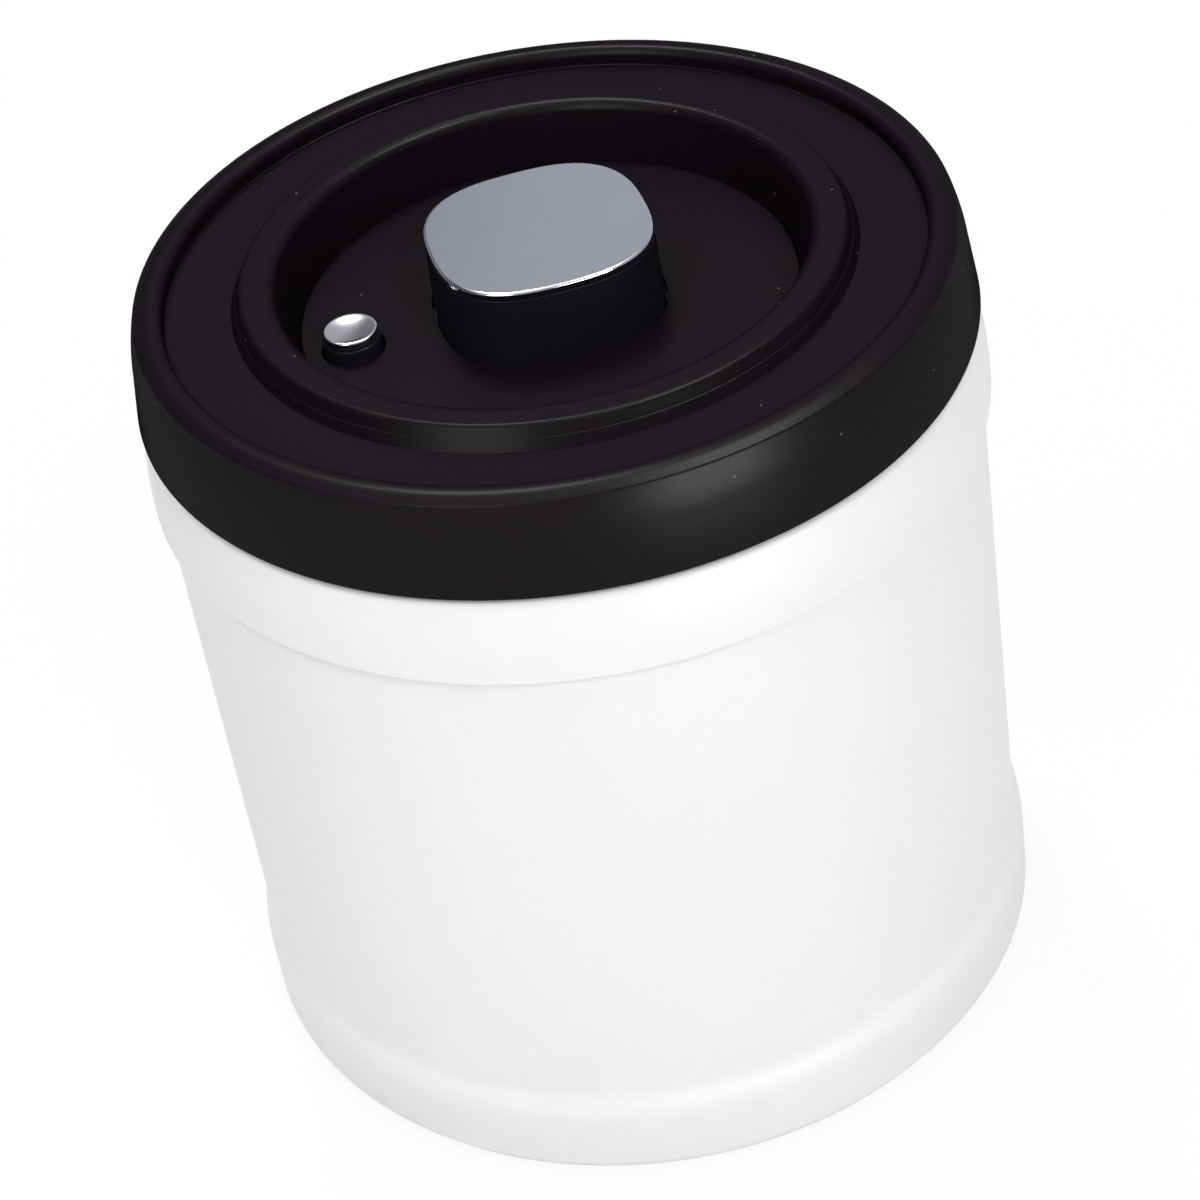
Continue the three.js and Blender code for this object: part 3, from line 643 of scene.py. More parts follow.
WHITE_COAT = white_coat()
LID_BLACK = black_plastic(
    "lid_black",
    dark=(0.006, 0.0038, 0.0064, 1),
    pale=(0.007, 0.0046, 0.0074, 1),
    sheen=0.22,
    roughness=0.33,
    specks=0.6,
)
BUTTON_BLACK = black_plastic(
    "button_black",
    dark=(0.0092, 0.0076, 0.0114, 1),
    pale=(0.0106, 0.0088, 0.013, 1),
    sheen=0.3,
    roughness=0.33,
    specks=0.2,
)
CAP_CHROME = chrome("cap_chrome", tint=(0.715, 0.755, 0.875, 1), roughness=0.1)
RELEASE_SILVER = chrome("release_silver", tint=(0.75, 0.755, 0.83, 1), roughness=0.16)
STEEL = bare_steel()
GREY_PLASTIC = grey_plastic()
RUBBER = soft_rubber("foot_rubber", (0.02, 0.02, 0.021, 1), (0.032, 0.032, 0.033, 1), roughness=0.75)
SILICONE = soft_rubber("silicone", (0.66, 0.66, 0.63, 1), (0.74, 0.74, 0.71, 1), roughness=0.55)


# Canister body

def top_band(height):
    """Radius of the upper band's bulging face at a height."""
    away = height - TOP_BAND_MIDDLE
    return band_radius - away * away / (2 * TOP_BAND_CURVE)


def low_band(depth, steps):
    """The lower band's curves from its face up to the wall, on the outside or a depth inside it."""
    curves = LOW_BAND_HOLLOW + LOW_BAND_ROUND
    lean = math.acos(1 - (band_radius - BODY_RADIUS) / curves)
    full = LOW_BAND_TOP - curves * math.sin(lean)
    points = arc(band_radius - LOW_BAND_ROUND, full, LOW_BAND_ROUND - depth, 0, lean, steps)
    hollow = LOW_BAND_HOLLOW + depth
    points += arc(BODY_RADIUS + LOW_BAND_HOLLOW, LOW_BAND_TOP, hollow, math.pi + lean, math.pi, steps)[1:]
    return points


def shoulder_height():
    """Height of the flat shoulder between the upper band and the neck."""
    start = TOP_BAND_MIDDLE + TOP_BAND_REACH
    return start + SHOULDER_ROUND * (1 - math.sin(TOP_BAND_REACH / TOP_BAND_CURVE))


def steps_between(start, end, step):
    """Even heights from start to end, about one step apart."""
    count = max(1, round(abs(end - start) / step))
    return [start + (end - start) * i / count for i in range(count + 1)]


def wall_outside():
    """Outside of the wall from the foot to the shoulder: lower band, straight wall, upper band."""
    band_foot = TOP_BAND_MIDDLE - TOP_BAND_DROP
    wall_foot = LOW_BAND_TOP + 1
    wall_top = band_foot - 2
    face_foot = band_foot + 1.2
    curve_foot = band_foot + 1.9
    points = arc(band_radius - FOOT_ROUND, shell_foot + FOOT_ROUND, FOOT_ROUND, -UPRIGHT, 0, steps=6)
    points += low_band(depth=0, steps=10)
    for height in steps_between(wall_foot, wall_top - 1, step=14):
        points.append((BODY_RADIUS, height))
    points += rounded([
        (BODY_RADIUS, wall_top),
        (BODY_RADIUS, band_foot - TOP_BAND_UNDERCUT, TOP_BAND_CREASE),
        (top_band(band_foot), band_foot, TOP_BAND_EDGE),
        (top_band(face_foot), face_foot),
    ], steps=4)
    for height in steps_between(curve_foot, TOP_BAND_MIDDLE + TOP_BAND_REACH, step=0.75):
        points.append((top_band(height), height))
    return points


def body_shell():
    """Drawn steel wall with both bands, the shoulder, the neck with its rounded mouth and a flange."""
    start = TOP_BAND_MIDDLE + TOP_BAND_REACH
    tilt = TOP_BAND_REACH / TOP_BAND_CURVE
    centre_radius = top_band(start) - SHOULDER_ROUND * math.cos(tilt)
    centre_height = start - SHOULDER_ROUND * math.sin(tilt)
    shoulder = shoulder_height()
    neck_inner = NECK_OUTER - NECK_WALL
    inner = BODY_RADIUS - BODY_WALL
    band_step = TOP_BAND_MIDDLE - TOP_BAND_DROP + BODY_WALL
    flange_top = shell_foot + BODY_WALL
    flange_inner = band_radius - FOOT_ROUND - FLANGE_WIDTH
    lip = NECK_WALL / 2
    outline = wall_outside()
    outline += arc(centre_radius, centre_height, SHOULDER_ROUND, tilt, UPRIGHT, steps=6)[1:]
    fillet = (NECK_OUTER + NECK_FILLET, shoulder + NECK_FILLET)
    outline += arc(*fillet, NECK_FILLET, 3 * UPRIGHT, 2 * UPRIGHT, steps=3)
    outline += arc(NECK_OUTER - lip, mouth - lip, lip, 0, math.pi, steps=8)
    outline.append((neck_inner, shoulder - BODY_WALL))
    outline += arc(centre_radius, centre_height, SHOULDER_ROUND - BODY_WALL, UPRIGHT, tilt, steps=3)
    for height in steps_between(start, band_step, step=1.4):
        outline.append((top_band(height) - BODY_WALL, height))
    for height in (band_step - TOP_BAND_UNDERCUT, *INNER_WALL_RINGS):
        outline.append((inner, height))
    outline += reversed(low_band(BODY_WALL, steps=6))
    outline += [
        (band_radius - BODY_WALL, shell_foot + FOOT_ROUND),
        (band_radius - FOOT_ROUND, flange_top),
        (flange_inner, flange_top),
        (flange_inner, shell_foot),
    ]
    thing = new_object("canister_shell", turned(outline, WALL_FACETS))
    dress(thing, WHITE_COAT, "canister", "white_coat", "body_shell")


def base_plate():
    """Pressed base: a turned-down rim, a step and a flat middle."""
    foot = foot_of("base_plate")
    middle = top_of("base_plate")
    outer = reach_of("base_plate")
    step = outer - BASE_RIM_WIDTH
    rim = foot + BASE_WALL
    outline = rounded([
        (0, middle - BASE_WALL),
        (step, middle - BASE_WALL, SOFT),
        (step, foot, BASE_FOLD),
        (outer, foot, FULL),
        (outer, rim, FINE),
        (step + BASE_WALL, rim, FINE),
        (step + BASE_WALL, middle, BASE_FOLD_INSIDE),
        (0, middle),
    ])
    thing = new_object("pressed_base", turned(outline, RING_FACETS, closes=False))
    dress(thing, WHITE_COAT, "canister", "white_coat", "base_plate")


def foot_ring():
    """Rubber ring to stand on, with a flat sole between softened edges."""
    outer = reach_of("foot_ring")
    inner = outer - FOOT_RING_WIDTH
    top = top_of("foot_ring")
    outline = rounded([
        (inner, 0, FOOT_RING_ROUND),
        (outer, 0, FOOT_RING_ROUND),
        (outer, top, FINE),
        (inner, top, FINE),
    ])
    thing = new_object("rubber_foot", turned(outline, RING_FACETS))
    dress(thing, RUBBER, "canister", "rubber", "foot_ring")


body_shell()
base_plate()
foot_ring()


# Lid

def rim_outside():
    """Outside of the lid from the skirt's curve up to the rim's top, as arcs that run into each other."""
    slope = UPRIGHT - RIM_SLOPE
    bent = UPRIGHT - SKIRT_BENT
    steep = UPRIGHT - SKIRT_STEEP
    crest = SKIRT_RADIUS - RIM_INSET
    crest_height = rim_top - RIM_CREASE
    inwards = RIM_CREASE - RIM_EDGE
    edge_radius = crest + inwards * math.cos(slope) + RIM_SLOPE_LENGTH * math.sin(slope)
    edge_height = crest_height + inwards * math.sin(slope) - RIM_SLOPE_LENGTH * math.cos(slope)
    curve_radius = edge_radius - (SKIRT_CURVE - RIM_EDGE) * math.cos(bent)
    curve_height = edge_height - (SKIRT_CURVE - RIM_EDGE) * math.sin(bent)
    points = arc(curve_radius, curve_height, SKIRT_CURVE, steep, bent, steps=10)
    points += arc(edge_radius, edge_height, RIM_EDGE, bent, slope, steps=6)[1:]
    points += arc(crest, crest_height, RIM_CREASE, slope, UPRIGHT, steps=5)
    return points


def ring_and_well():
    """From the annulus over the raised ring and down the wall of the well."""
    ring_radius = lip_radius + RING_WIDTH
    ledge_radius = ring_radius - RING_LEDGE_INSET
    ledge = annulus + RING_LEDGE_RISE
    points = rounded([
        (ring_radius + RING_FOOT_FLAT, annulus),
        (ring_radius - RING_FOOT_INSET, annulus),
        (ledge_radius, ledge, RING_LEDGE_ROUND),
        (ledge_radius - RING_LEDGE_WIDTH, ledge + RING_LEDGE_SLOPE),
        (ring_radius - RING_TOP_INSET, ring_top, RING_TOP_ROUND),
        (lip_radius + RING_LIP + RING_LIP_FLAT, ring_top),
    ])
    points += arc(lip_radius + RING_LIP, ring_top - RING_LIP, RING_LIP, UPRIGHT, math.pi, steps=7)
    points.append((well_radius, well_floor))
    return points


def lid_posts():
    """Hollow posts under the cover that the lid's screws go into."""
    foot = plate_top + SEAT
    hole_foot = foot - CUT_PAST
    hole_top = top_of("lid_screw_1") + SCREW_TIP_ROOM
    posts = [rod(POST_RADIUS, foot, cover_under + JOIN, place=place) for place in lid_screw_places]
    holes = [rod(SCREW_HOLE, hole_foot, hole_top, HOLE_FACETS, place) for place in lid_screw_places]
    return posts, holes


def lid_cover():
    """Skirt, rim, annulus, raised ring and well wall in one moulding, with the posts for its screws."""
    skirt_foot = shoulder_height() + SKIRT_GAP
    rim_inner = SKIRT_RADIUS - RIM_INSET - RIM_WIDTH
    ledge = deck_under - SEAT
    ledge_inner = well_radius - DECK_WALL
    round_radius = SKIRT_RADIUS - SKIRT_FOOT_ROUND
    round_height = skirt_foot + SKIRT_FOOT_ROUND
    outline = arc(round_radius, round_height, SKIRT_FOOT_ROUND, -UPRIGHT, SKIRT_FOOT_LEAN, steps=5)
    outline += rim_outside()
    outline += arc(rim_inner + RIM_LIP, rim_top - RIM_LIP, RIM_LIP, UPRIGHT, math.pi, steps=7)
    outline += arc(rim_inner - RIM_FILLET, annulus + RIM_FILLET, RIM_FILLET, 0, -UPRIGHT, steps=7)
    outline += ring_and_well()
    outline += [
        (well_radius, ledge),
        (ledge_inner, ledge),
        (ledge_inner, ledge - DECK_WALL),
        (well_radius + WELL_WALL, ledge - DECK_WALL),
        (lip_radius + WELL_WALL - RING_LIP, cover_under),
        (SKIRT_RADIUS - SKIRT_WALL - SKIRT_DRAW, cover_under),
        (SKIRT_RADIUS - SKIRT_WALL, round_height),
        (SKIRT_RADIUS - SKIRT_WALL + SKIRT_FOOT_BEVEL, skirt_foot),
    ]
    posts, holes = lid_posts()
    thing = shaped("lid_shell", turned(outline, WALL_FACETS), added=posts, cut=holes)
    dress(thing, LID_BLACK, "lid", "black_plastic", "lid_cover")


def softened_opening(half):
    """Outline of a cutter for an opening in the well floor whose top edge is softened."""
    return [
        (0, deck_under - CUT_PAST),
        (half, deck_under - CUT_PAST),
        (half, well_floor - DECK_EDGE),
        (half + 2 * DECK_EDGE, well_floor + DECK_EDGE),
        (0, well_floor + DECK_EDGE),
    ]


def pump_deck():
    """Floor of the well, with openings for both buttons, and the pump cylinder under it."""
    bore = cylinder_outer - CYLINDER_WALL
    foot = foot_of("pump_housing")
    outline = [
        (0, deck_under),
        (bore, deck_under),
        (bore, foot),
        (cylinder_outer, foot),
        (cylinder_outer, deck_under),
        (deck_radius, deck_under),
        (deck_radius, well_floor - DECK_EDGE),
        (deck_radius - DECK_EDGE, well_floor),
        (0, well_floor),
    ]
    press_opening = softened_opening(button_half + BUTTON_GAP)
    release_opening = softened_opening(release_radius + RELEASE_PLAY)
    openings = [
        turned(press_opening, RING_FACETS, closes=False, stretch=squarish),
        turned(release_opening, SMALL_FACETS, closes=False, place=release_place),
    ]
    thing = shaped("well_floor", turned(outline, RING_FACETS, closes=False), cut=openings)
    dress(thing, LID_BLACK, "lid", "black_plastic", "pump_housing")


def lid_plug():
    """Inner tray that goes into the neck, with the groove for the seal, the vent and the screw holes."""
    top = top_of("lid_plug")
    groove_foot = foot_of("lid_gasket") - SEAT
    groove_top = top_of("lid_gasket") + SEAT
    hole = reach_of("cylinder_oring") + SEAT
    inner = plug_radius - GROOVE_DEPTH - PLUG_WALL
    outline = rounded([
        (hole, plug_foot, SOFT),
        (plug_radius, plug_foot, PLUG_ROUND),
        (plug_radius, groove_foot, GROOVE_ROUND),
        (plug_radius - GROOVE_DEPTH, groove_foot, GROOVE_ROUND),
        (plug_radius - GROOVE_DEPTH, groove_top, GROOVE_ROUND),
        (plug_radius, groove_top, GROOVE_ROUND),
        (plug_radius, top, FULL),
        (inner, top, FULL),
        (inner, plate_top, PLUG_FILLET),
        (hole, plate_top, SOFT),
    ], steps=4)
    low = plug_foot - CUT_PAST
    high = plate_top + CUT_PAST
    holes = [rod(SCREW_HOLE, low, high, HOLE_FACETS, place) for place in lid_screw_places]
    holes.append(rod(VENT_RADIUS, low, high, VENT_FACETS, release_place))
    thing = shaped("inner_tray", turned(outline, RING_FACETS), cut=holes)
    dress(thing, GREY_PLASTIC, "lid", "grey_plastic", "lid_plug")


def lid_gasket():
    """Silicone ring with two soft lips."""
    inner = plug_radius - GROOVE_DEPTH + SEAT
    back = plug_radius - SEAT
    tip = reach_of("lid_gasket")
    foot = foot_of("lid_gasket")
    top = top_of("lid_gasket")
    tenth = (top - foot) / 10
    outline = rounded([
        (inner, foot, FINE),
        (back, foot, FINE),
        (tip, foot + 2 * tenth, GASKET_LIP_ROUND),
        (tip, foot + 3 * tenth, GASKET_LIP_ROUND),
        (back, foot + 4 * tenth, FINE),
        (back, foot + 6 * tenth, FINE),
        (tip, foot + 8 * tenth, GASKET_LIP_ROUND),
        (tip, foot + 9 * tenth, GASKET_LIP_ROUND),
        (back, top, FINE),
        (inner, top, FINE),
    ], steps=4)
    thing = new_object("neck_seal", turned(outline, RING_FACETS))
    dress(thing, SILICONE, "lid", "silicone", "lid_gasket")


def air_holes(valve, foot, top, turn):
    """Cutters for a valve's stem and for the air holes round it, turned by a share of their step."""
    circle = (radius_of(valve) + VALVE_STEM) / 2
    low = foot - CUT_PAST
    high = top + CUT_PAST
    holes = [rod(VALVE_STEM + SEAT, low, high)]
    for i in range(AIR_HOLES):
        angle = 2 * math.pi * (i + turn) / AIR_HOLES
        spot = (circle * math.cos(angle), circle * math.sin(angle))
        holes.append(rod(AIR_HOLE, low, high, place=spot))
    return holes


def cylinder_base():
    """Cup that closes the pump cylinder from below, with air holes round the valve's stem."""
    foot = foot_of("cylinder_base")
    top = top_of("cylinder_base")
    outer = reach_of("cylinder_base")
    inner = cylinder_outer + SEAT
    outline = rounded([
        (0, foot),
        (outer, foot, CUP_ROUND),
        (outer, top, CUP_EDGE),
        (inner, top, CUP_EDGE),
        (inner, cylinder_floor, SOFT),
        (0, cylinder_floor),
    ])
    holes = air_holes("intake_valve", foot, cylinder_floor, turn=0)
    thing = shaped("cylinder_cup", turned(outline, PUMP_FACETS, closes=False), cut=holes)
    dress(thing, GREY_PLASTIC, "lid", "grey_plastic", "cylinder_base")


def cylinder_oring():
    section = (top_of("cylinder_oring") - foot_of("cylinder_oring")) / 2
    middle = reach_of("cylinder_oring") - section
    ring = arc(middle, foot_of("cylinder_oring") + section, section, 0, 2 * math.pi, steps=16)
    thing = new_object("cylinder_seal", turned(ring[:-1], PUMP_FACETS))
    dress(thing, RUBBER, "lid", "rubber", "cylinder_oring")


def umbrella_valve(name, node, body):
    """A bulb below the plate, a stem through it and a domed flap on top."""
    foot = foot_of(node)
    top = top_of(node)
    flap = radius_of(node)
    flap_foot = top - VALVE_HEAD
    bulb_top = foot + VALVE_BULB
    outline = rounded([
        (0, foot),
        (VALVE_STEM, foot, FULL),
        (VALVE_BULB_RADIUS, bulb_top, FINE),
        (VALVE_STEM, bulb_top, CRISP),
        (VALVE_STEM, flap_foot, FINE),
        (flap, flap_foot, FLAP_TIP_ROUND),
        (flap, flap_foot + FLAP_EDGE, CRISP),
        (VALVE_STEM, top, VALVE_DOME),
        (0, top),
    ], steps=4)
    thing = new_object(name, turned(outline, SMALL_FACETS, closes=False, place=place_of(node)))
    dress(thing, SILICONE, body, "silicone", node)


def release_guide():
    """Sleeve that the release button slides in."""
    foot = foot_of("release_guide")
    top = top_of("release_guide")
    outer = radius_of("release_guide")
    bore = release_radius + RELEASE_PLAY
    stem_hole = RELEASE_STEM + 2 * SEAT
    outline = rounded([
        (stem_hole, foot, FINE),
        (outer, foot, SOFT),
        (outer, top, SOFT),
        (bore, top, SOFT),
        (bore, foot + GUIDE_FLOOR, SOFT),
        (stem_hole, foot + GUIDE_FLOOR, FINE),
    ])
    thing = new_object("release_sleeve", turned(outline, SMALL_FACETS, place=release_place))
    dress(thing, GREY_PLASTIC, "lid", "grey_plastic", "release_guide")


def pan_screw(name, node, body, shank, head_height):
    """A pan-head screw that points up, with a cross recess in its head."""
    foot = foot_of(node)
    top = top_of(node)
    head = radius_of(node)
    place = place_of(node)
    head_top = foot + head_height
    dome = SCREW_DOME * head_height
    outline = rounded([
        (0, foot),
        (head, foot, dome),
        (head, head_top, CRISP),
        (shank, head_top),
        (shank, top - shank),
        (0, top),
    ])
    slot = shank / 2
    recess = [
        bar(head, slot, foot - CUT_PAST, foot + dome, place),
        bar(slot, head, foot - CUT_PAST, foot + dome, place),
    ]
    thing = shaped(name, turned(outline, SCREW_FACETS, closes=False, place=place), cut=recess)
    dress(thing, STEEL, body, "steel", node)


lid_cover()
pump_deck()
lid_plug()
lid_gasket()
cylinder_base()
cylinder_oring()
umbrella_valve("intake_flap", "intake_valve", "lid")
release_guide()
for number in range(1, LID_SCREWS + 1):
    pan_screw(f"tray_screw_{number}", f"lid_screw_{number}", "lid", LID_SCREW_SHANK, LID_SCREW_HEAD)


# Press button

def button_half_at(height):
    """Half the press button's width at a height; it narrows a little above the well floor."""
    return button_half - BUTTON_TAPER * max(0, height - well_floor)


def press_shell():
    """Rounded-square button body, hollow, with two posts for the piston's screws."""
    foot = foot_of("press_shell")
    top = top_of("press_shell")
    roof = top - BUTTON_WALL
    outline = rounded([
        (0, roof),
        (button_half_at(roof) - BUTTON_WALL, roof, BUTTON_ROOF_ROUND),
        (button_half - BUTTON_WALL, foot),
        (button_half, foot),
        (button_half, well_floor),
        (button_half_at(top), top, BUTTON_EDGE),
        (0, top),
    ])
    hole_foot = foot - CUT_PAST
    hole_top = top_of("piston_screw_1") + SEAT
    posts = [rod(PISTON_POST, foot, roof + JOIN, place=place) for place in piston_screw_places]
    holes = []
    for place in piston_screw_places:
        holes.append(rod(PISTON_SCREW_HOLE, hole_foot, hole_top, HOLE_FACETS, place))
    mesh = turned(outline, RING_FACETS, closes=False, stretch=squarish)
    thing = shaped("press_body", mesh, added=posts, cut=holes)
    dress(thing, BUTTON_BLACK, "press_button", "black_plastic", "press_shell")


def press_cap():
    """Chrome plate on top of the press button, with a rounded edge."""
    foot = foot_of("press_cap")
    outline = rounded([
        (0, foot),
        (button_half_at(foot), foot, CAP_FOOT_ROUND),
        (button_half_at(button_top), button_top, CAP_ROUND),
        (0, button_top),
    ], steps=8)
    thing = new_object("press_plate", turned(outline, CAP_FACETS, closes=False, stretch=squarish))
    dress(thing, CAP_CHROME, "press_button", "chrome", "press_cap")


def piston():
    """Pump piston: a groove for its seal outside, a groove for the spring below, and air holes."""
    foot = foot_of("piston")
    top = top_of("piston")
    outer = reach_of("piston")
    ring_foot = foot_of("piston_ring") - SEAT
    ring_top_edge = top_of("piston_ring") + SEAT
    groove = outer - (ring_top_edge - ring_foot - 2 * SEAT) - SEAT / 2
    slot_inner = SPRING_RADIUS - SPRING_SLOT
    slot_outer = SPRING_RADIUS + SPRING_SLOT
    slot_top = top_of("press_spring") + SEAT
    outline = rounded([
        (0, foot),
        (slot_inner, foot, SOFT),
        (slot_inner, slot_top, SOFT),
        (slot_outer, slot_top, SOFT),
        (slot_outer, foot, SOFT),
        (outer, foot, FULL),
        (outer, ring_foot, CRISP),
        (groove, ring_foot, CRISP),
        (groove, ring_top_edge, CRISP),
        (outer, ring_top_edge, CRISP),
        (outer, top, SOFT),
        (0, top),
    ], steps=4)
    head_seat = foot_of("piston_screw_1") + PISTON_SCREW_HEAD + SEAT
    head_room = radius_of("piston_screw_1") + SEAT
    low = foot - CUT_PAST
    holes = air_holes("exhaust_valve", foot, top, turn=0.5)
    for place in piston_screw_places:
        holes.append(rod(PISTON_SCREW_HOLE, low, top + CUT_PAST, HOLE_FACETS, place))
        holes.append(rod(head_room, low, head_seat, place=place))
    thing = shaped("pump_piston", turned(outline, PUMP_FACETS, closes=False), cut=holes)
    dress(thing, GREY_PLASTIC, "press_button", "grey_plastic", "piston")


def piston_ring():
    foot = foot_of("piston_ring")
    top = top_of("piston_ring")
    outer = reach_of("piston_ring")
    inner = reach_of("piston") - (top - foot) + SEAT / 2
    outline = rounded([(inner, foot, CRISP), (outer, foot, FULL), (outer, top, FULL), (inner, top, CRISP)])
    thing = new_object("piston_seal", turned(outline, PUMP_FACETS))
    dress(thing, RUBBER, "press_button", "rubber", "piston_ring")


def press_spring():
    """Return spring round the pump's axis; the button squeezes it, but here it is drawn at one fixed length.
    """
    foot = foot_of("press_spring")
    top = top_of("press_spring")
    mesh = coil(SPRING_RADIUS, SPRING_WIRE, SPRING_TURNS, foot, top, (0, 0))
    thing = dress(new_object("press_coil", mesh), STEEL, "lid", "steel", "press_spring")
    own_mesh(thing)


press_shell()
press_cap()
piston()
piston_ring()
umbrella_valve("exhaust_flap", "exhaust_valve", "press_button")
press_spring()
for number in range(1, PISTON_SCREWS + 1):
    node = f"piston_screw_{number}"
    pan_screw(f"button_screw_{number}", node, "press_button", PISTON_SCREW_SHANK, PISTON_SCREW_HEAD)


# Release button

def release_body():
    """Round button with the stem under it."""
    foot = foot_of("release_body")
    top = top_of("release_body")
    under = top - RELEASE_BODY_HEIGHT
    outline = rounded([
        (0, foot),
        (RELEASE_STEM, foot, SOFT),
        (RELEASE_STEM, under, SOFT),
        (release_radius, under, FINE),
        (release_radius, top, FULL),
        (0, top),
    ])
    thing = new_object("release_stem", turned(outline, SMALL_FACETS, closes=False, place=release_place))
    dress(thing, BUTTON_BLACK, "release_button", "black_plastic", "release_body")


def release_cap():
    """Dished cap: a rounded rim round a shallow bowl."""
    foot = foot_of("release_cap")
    top = top_of("release_cap")
    radius = radius_of("release_cap")
    bowl = radius - RELEASE_RIM
    rings = 10
    outline = [(0, foot), (radius, foot)]
    outline += arc(bowl, top - RELEASE_RIM, RELEASE_RIM, 0, UPRIGHT, steps=6)
    for i in range(1, rings + 1):
        share = 1 - i / rings
        outline.append((bowl * share, top - RELEASE_DISH * (1 - share * share)))
    thing = new_object("release_dish", turned(outline, SMALL_FACETS, closes=False, place=release_place))
    dress(thing, RELEASE_SILVER, "release_button", "chrome", "release_cap")


def release_seal():
    foot = foot_of("release_seal")
    top = top_of("release_seal")
    outer = radius_of("release_seal")
    hole = RELEASE_STEM + SEAT
    outline = rounded([(hole, foot, FINE), (outer, foot, FULL), (outer, top, FINE), (hole, top, FINE)])
    thing = new_object("vent_seal", turned(outline, SMALL_FACETS, place=release_place))
    dress(thing, SILICONE, "release_button", "silicone", "release_seal")


def release_clip():
    """Cup on the end of the stem that holds the seal up."""
    foot = foot_of("release_clip")
    top = top_of("release_clip")
    outer = radius_of("release_clip")
    hole = RELEASE_STEM + SEAT
    floor_height = foot_of("release_body") - SEAT
    outline = rounded([
        (0, foot),
        (outer, foot, FULL),
        (outer, top, FINE),
        (hole, top, FINE),
        (hole, floor_height, CRISP),
        (0, floor_height),
    ])
    thing = new_object("stem_clip", turned(outline, SMALL_FACETS, closes=False, place=release_place))
    dress(thing, GREY_PLASTIC, "release_button", "grey_plastic", "release_clip")


def release_spring():
    """Return spring round the release button's stem."""
    foot = foot_of("release_spring")
    top = top_of("release_spring")
    radius = (RELEASE_STEM + release_radius + RELEASE_PLAY) / 2
    mesh = coil(radius, RELEASE_SPRING_WIRE, RELEASE_SPRING_TURNS, foot, top, release_place)
    thing = dress(new_object("release_coil", mesh), STEEL, "lid", "steel", "release_spring")
    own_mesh(thing)


release_body()
release_cap()
release_seal()
release_clip()
release_spring()


# Stage

# Camera sizes are in millimetres and its angles in radians; lamp and floor sizes are in metres.
CAMERA_LENS = 99.52
CAMERA_TURN = math.radians(-9.3)
CAMERA_RISE = 0.67126
CAMERA_ROLL = -0.16866
CAMERA_AWAY = 572.21
CAMERA_SLIDE = (8.477, -49.084)
CAMERA_LIFT = 0.4
LAMP_AIM = Vector((0, 0, 0.08))
FLOOR_SIZE = 12
FLOOR_GLOW = 0.88


def camera():
    """The photo's viewpoint: above the lid, turned a little to the left, with the picture rolled."""
    back = Vector((
        math.sin(CAMERA_TURN) * math.cos(CAMERA_RISE),
        -math.cos(CAMERA_TURN) * math.cos(CAMERA_RISE),
        math.sin(CAMERA_RISE),
    ))
    level = Vector((0, 0, 1)).cross(back).normalized()
    up = back.cross(level)
    across = math.cos(CAMERA_ROLL) * level + math.sin(CAMERA_ROLL) * up
    along = math.cos(CAMERA_ROLL) * up - math.sin(CAMERA_ROLL) * level
    eye = CAMERA_AWAY * back - CAMERA_SLIDE[0] * across - CAMERA_SLIDE[1] * along
    eye.z += CAMERA_LIFT
    lens = bpy.data.cameras.new("camera")
    lens.lens = CAMERA_LENS
    lens.sensor_width = 36
    lens.clip_start = 0.01
    viewer = bpy.data.objects.new("camera", lens)
    axes = Matrix((across, along, back)).transposed()
    viewer.matrix_world = Matrix.Translation(eye * MM) @ axes.to_4x4()
    bpy.context.scene.collection.objects.link(viewer)
    bpy.context.scene.camera = viewer


def lamp(name, turn, rise, away, width, height, power, lights="all"):
    """A soft box that faces the canister; turn is degrees to the right of the camera.

    It lights everything, or only the matt part of each finish, or only its sheen.
    """
    azimuth = math.radians(270 + turn) + CAMERA_TURN
    elevation = math.radians(rise)
    direction = Vector((
        math.cos(azimuth) * math.cos(elevation),
        math.sin(azimuth) * math.cos(elevation),
        math.sin(elevation),
    ))
    light = bpy.data.lights.new(name, "AREA")
    light.shape = "RECTANGLE"
    light.size = width
    light.size_y = height
    light.energy = power
    holder = bpy.data.objects.new(name, light)
    holder.location = LAMP_AIM + direction * away
    holder.rotation_euler = direction.to_track_quat("Z", "Y").to_euler()
    holder.visible_diffuse = lights != "sheen"
    holder.visible_glossy = lights != "matt"
    bpy.context.scene.collection.objects.link(holder)


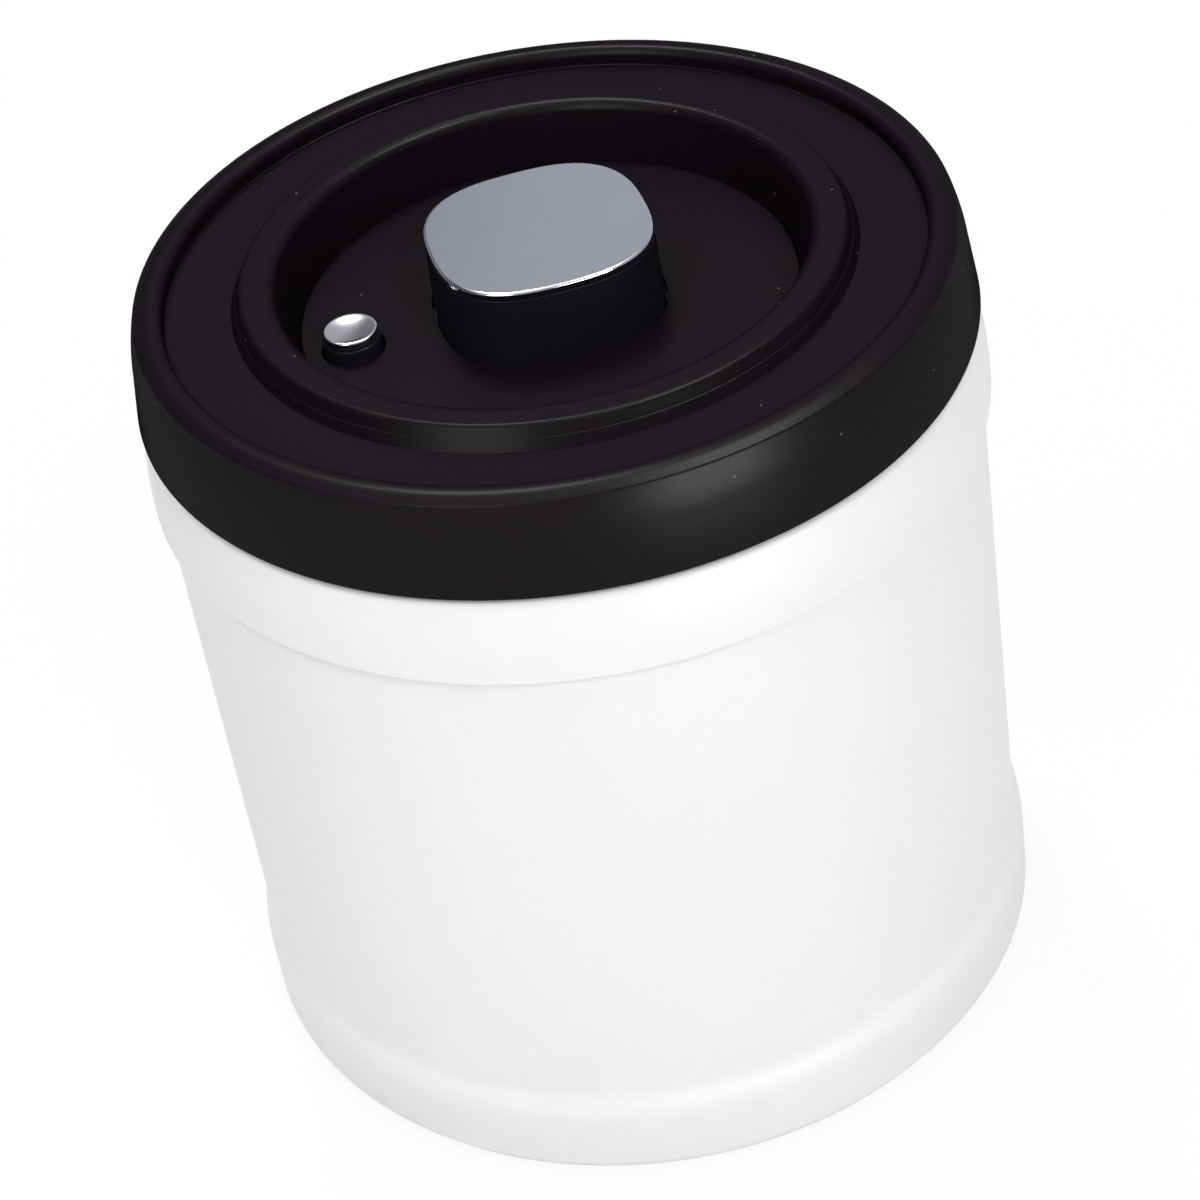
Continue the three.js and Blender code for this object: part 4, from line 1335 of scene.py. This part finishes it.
def sky():
    """A studio with a bright ceiling and a paler back wall that is dim on the left."""
    world = bpy.data.worlds.new("studio")
    world.use_nodes = True
    bpy.context.scene.world = world
    graph = Graph(world.node_tree)
    direction = graph.node("ShaderNodeTexCoord", output="Generated")
    rise = graph.node("ShaderNodeSeparateXYZ", {}, {0: direction}, "Z")
    walls = graph.span(graph.along(direction, azimuth=80), 0.2, 0.7, 0.3, 0.42)
    dim_left = graph.span(graph.along(direction, azimuth=140), 0.42, 0.58, 0, 0.25)
    ceiling = graph.span(rise, 0.7, 0.9, 0, 0.8)
    level = walls - dim_left + ceiling
    shader = graph.node("ShaderNodeBackground", {}, {"Color": grey(1), "Strength": level})
    graph.add("ShaderNodeOutputWorld", {}, {"Surface": shader})


def floor():
    """A plain white floor that keeps a faint shadow."""
    material, graph = new_material("white_floor")
    path = graph.add("ShaderNodeLightPath")
    seen = Value(graph, path.outputs["Is Camera Ray"])
    seen = seen.maximum(Value(graph, path.outputs["Is Glossy Ray"]))
    seen = seen.maximum(Value(graph, path.outputs["Is Transmission Ray"]))
    place = graph.place()
    tone = graph.span(graph.noise(place, 3, detail=3), 0.3, 0.7, 0.8, 0.84)
    shade = graph.node("ShaderNodeCombineColor", {}, {0: tone, 1: tone, 2: tone})
    paint = graph.node("ShaderNodeBsdfDiffuse", {}, {"Color": shade})
    glow = graph.node("ShaderNodeEmission", {}, {"Color": grey(1), "Strength": 1})
    mixed = graph.node("ShaderNodeMixShader", {}, {0: seen * FLOOR_GLOW, 1: paint, 2: glow})
    graph.add("ShaderNodeOutputMaterial", {}, {"Surface": mixed})
    mesh = bmesh.new()
    bmesh.ops.create_grid(mesh, x_segments=8, y_segments=8, size=FLOOR_SIZE)
    plane = new_object("studio_floor", mesh)
    plane.data.materials.append(material)


camera()
floor()
sky()
lamp("overhead_box", turn=-168, rise=63, away=0.95, width=0.22, height=0.22, power=3.8)
lamp("front_right_box", turn=24, rise=40, away=1.1, width=0.25, height=0.5, power=4.2, lights="matt")
lamp("front_left_box", turn=-36, rise=42, away=1.1, width=0.25, height=0.4, power=1.9)
lamp("left_top_box", turn=-75, rise=58, away=1.1, width=0.3, height=0.3, power=1.4, lights="matt")
lamp("front_left_panel", turn=-32, rise=24, away=0.6, width=0.32, height=0.18, power=0.7, lights="sheen")
lamp("front_right_panel", turn=30, rise=2, away=0.45, width=0.22, height=0.19, power=1.6, lights="sheen")
lamp("right_ceiling_panel", turn=92, rise=72, away=0.9, width=0.24, height=0.24, power=3.7, lights="sheen")
bpy.context.scene.view_settings.view_transform = "Standard"
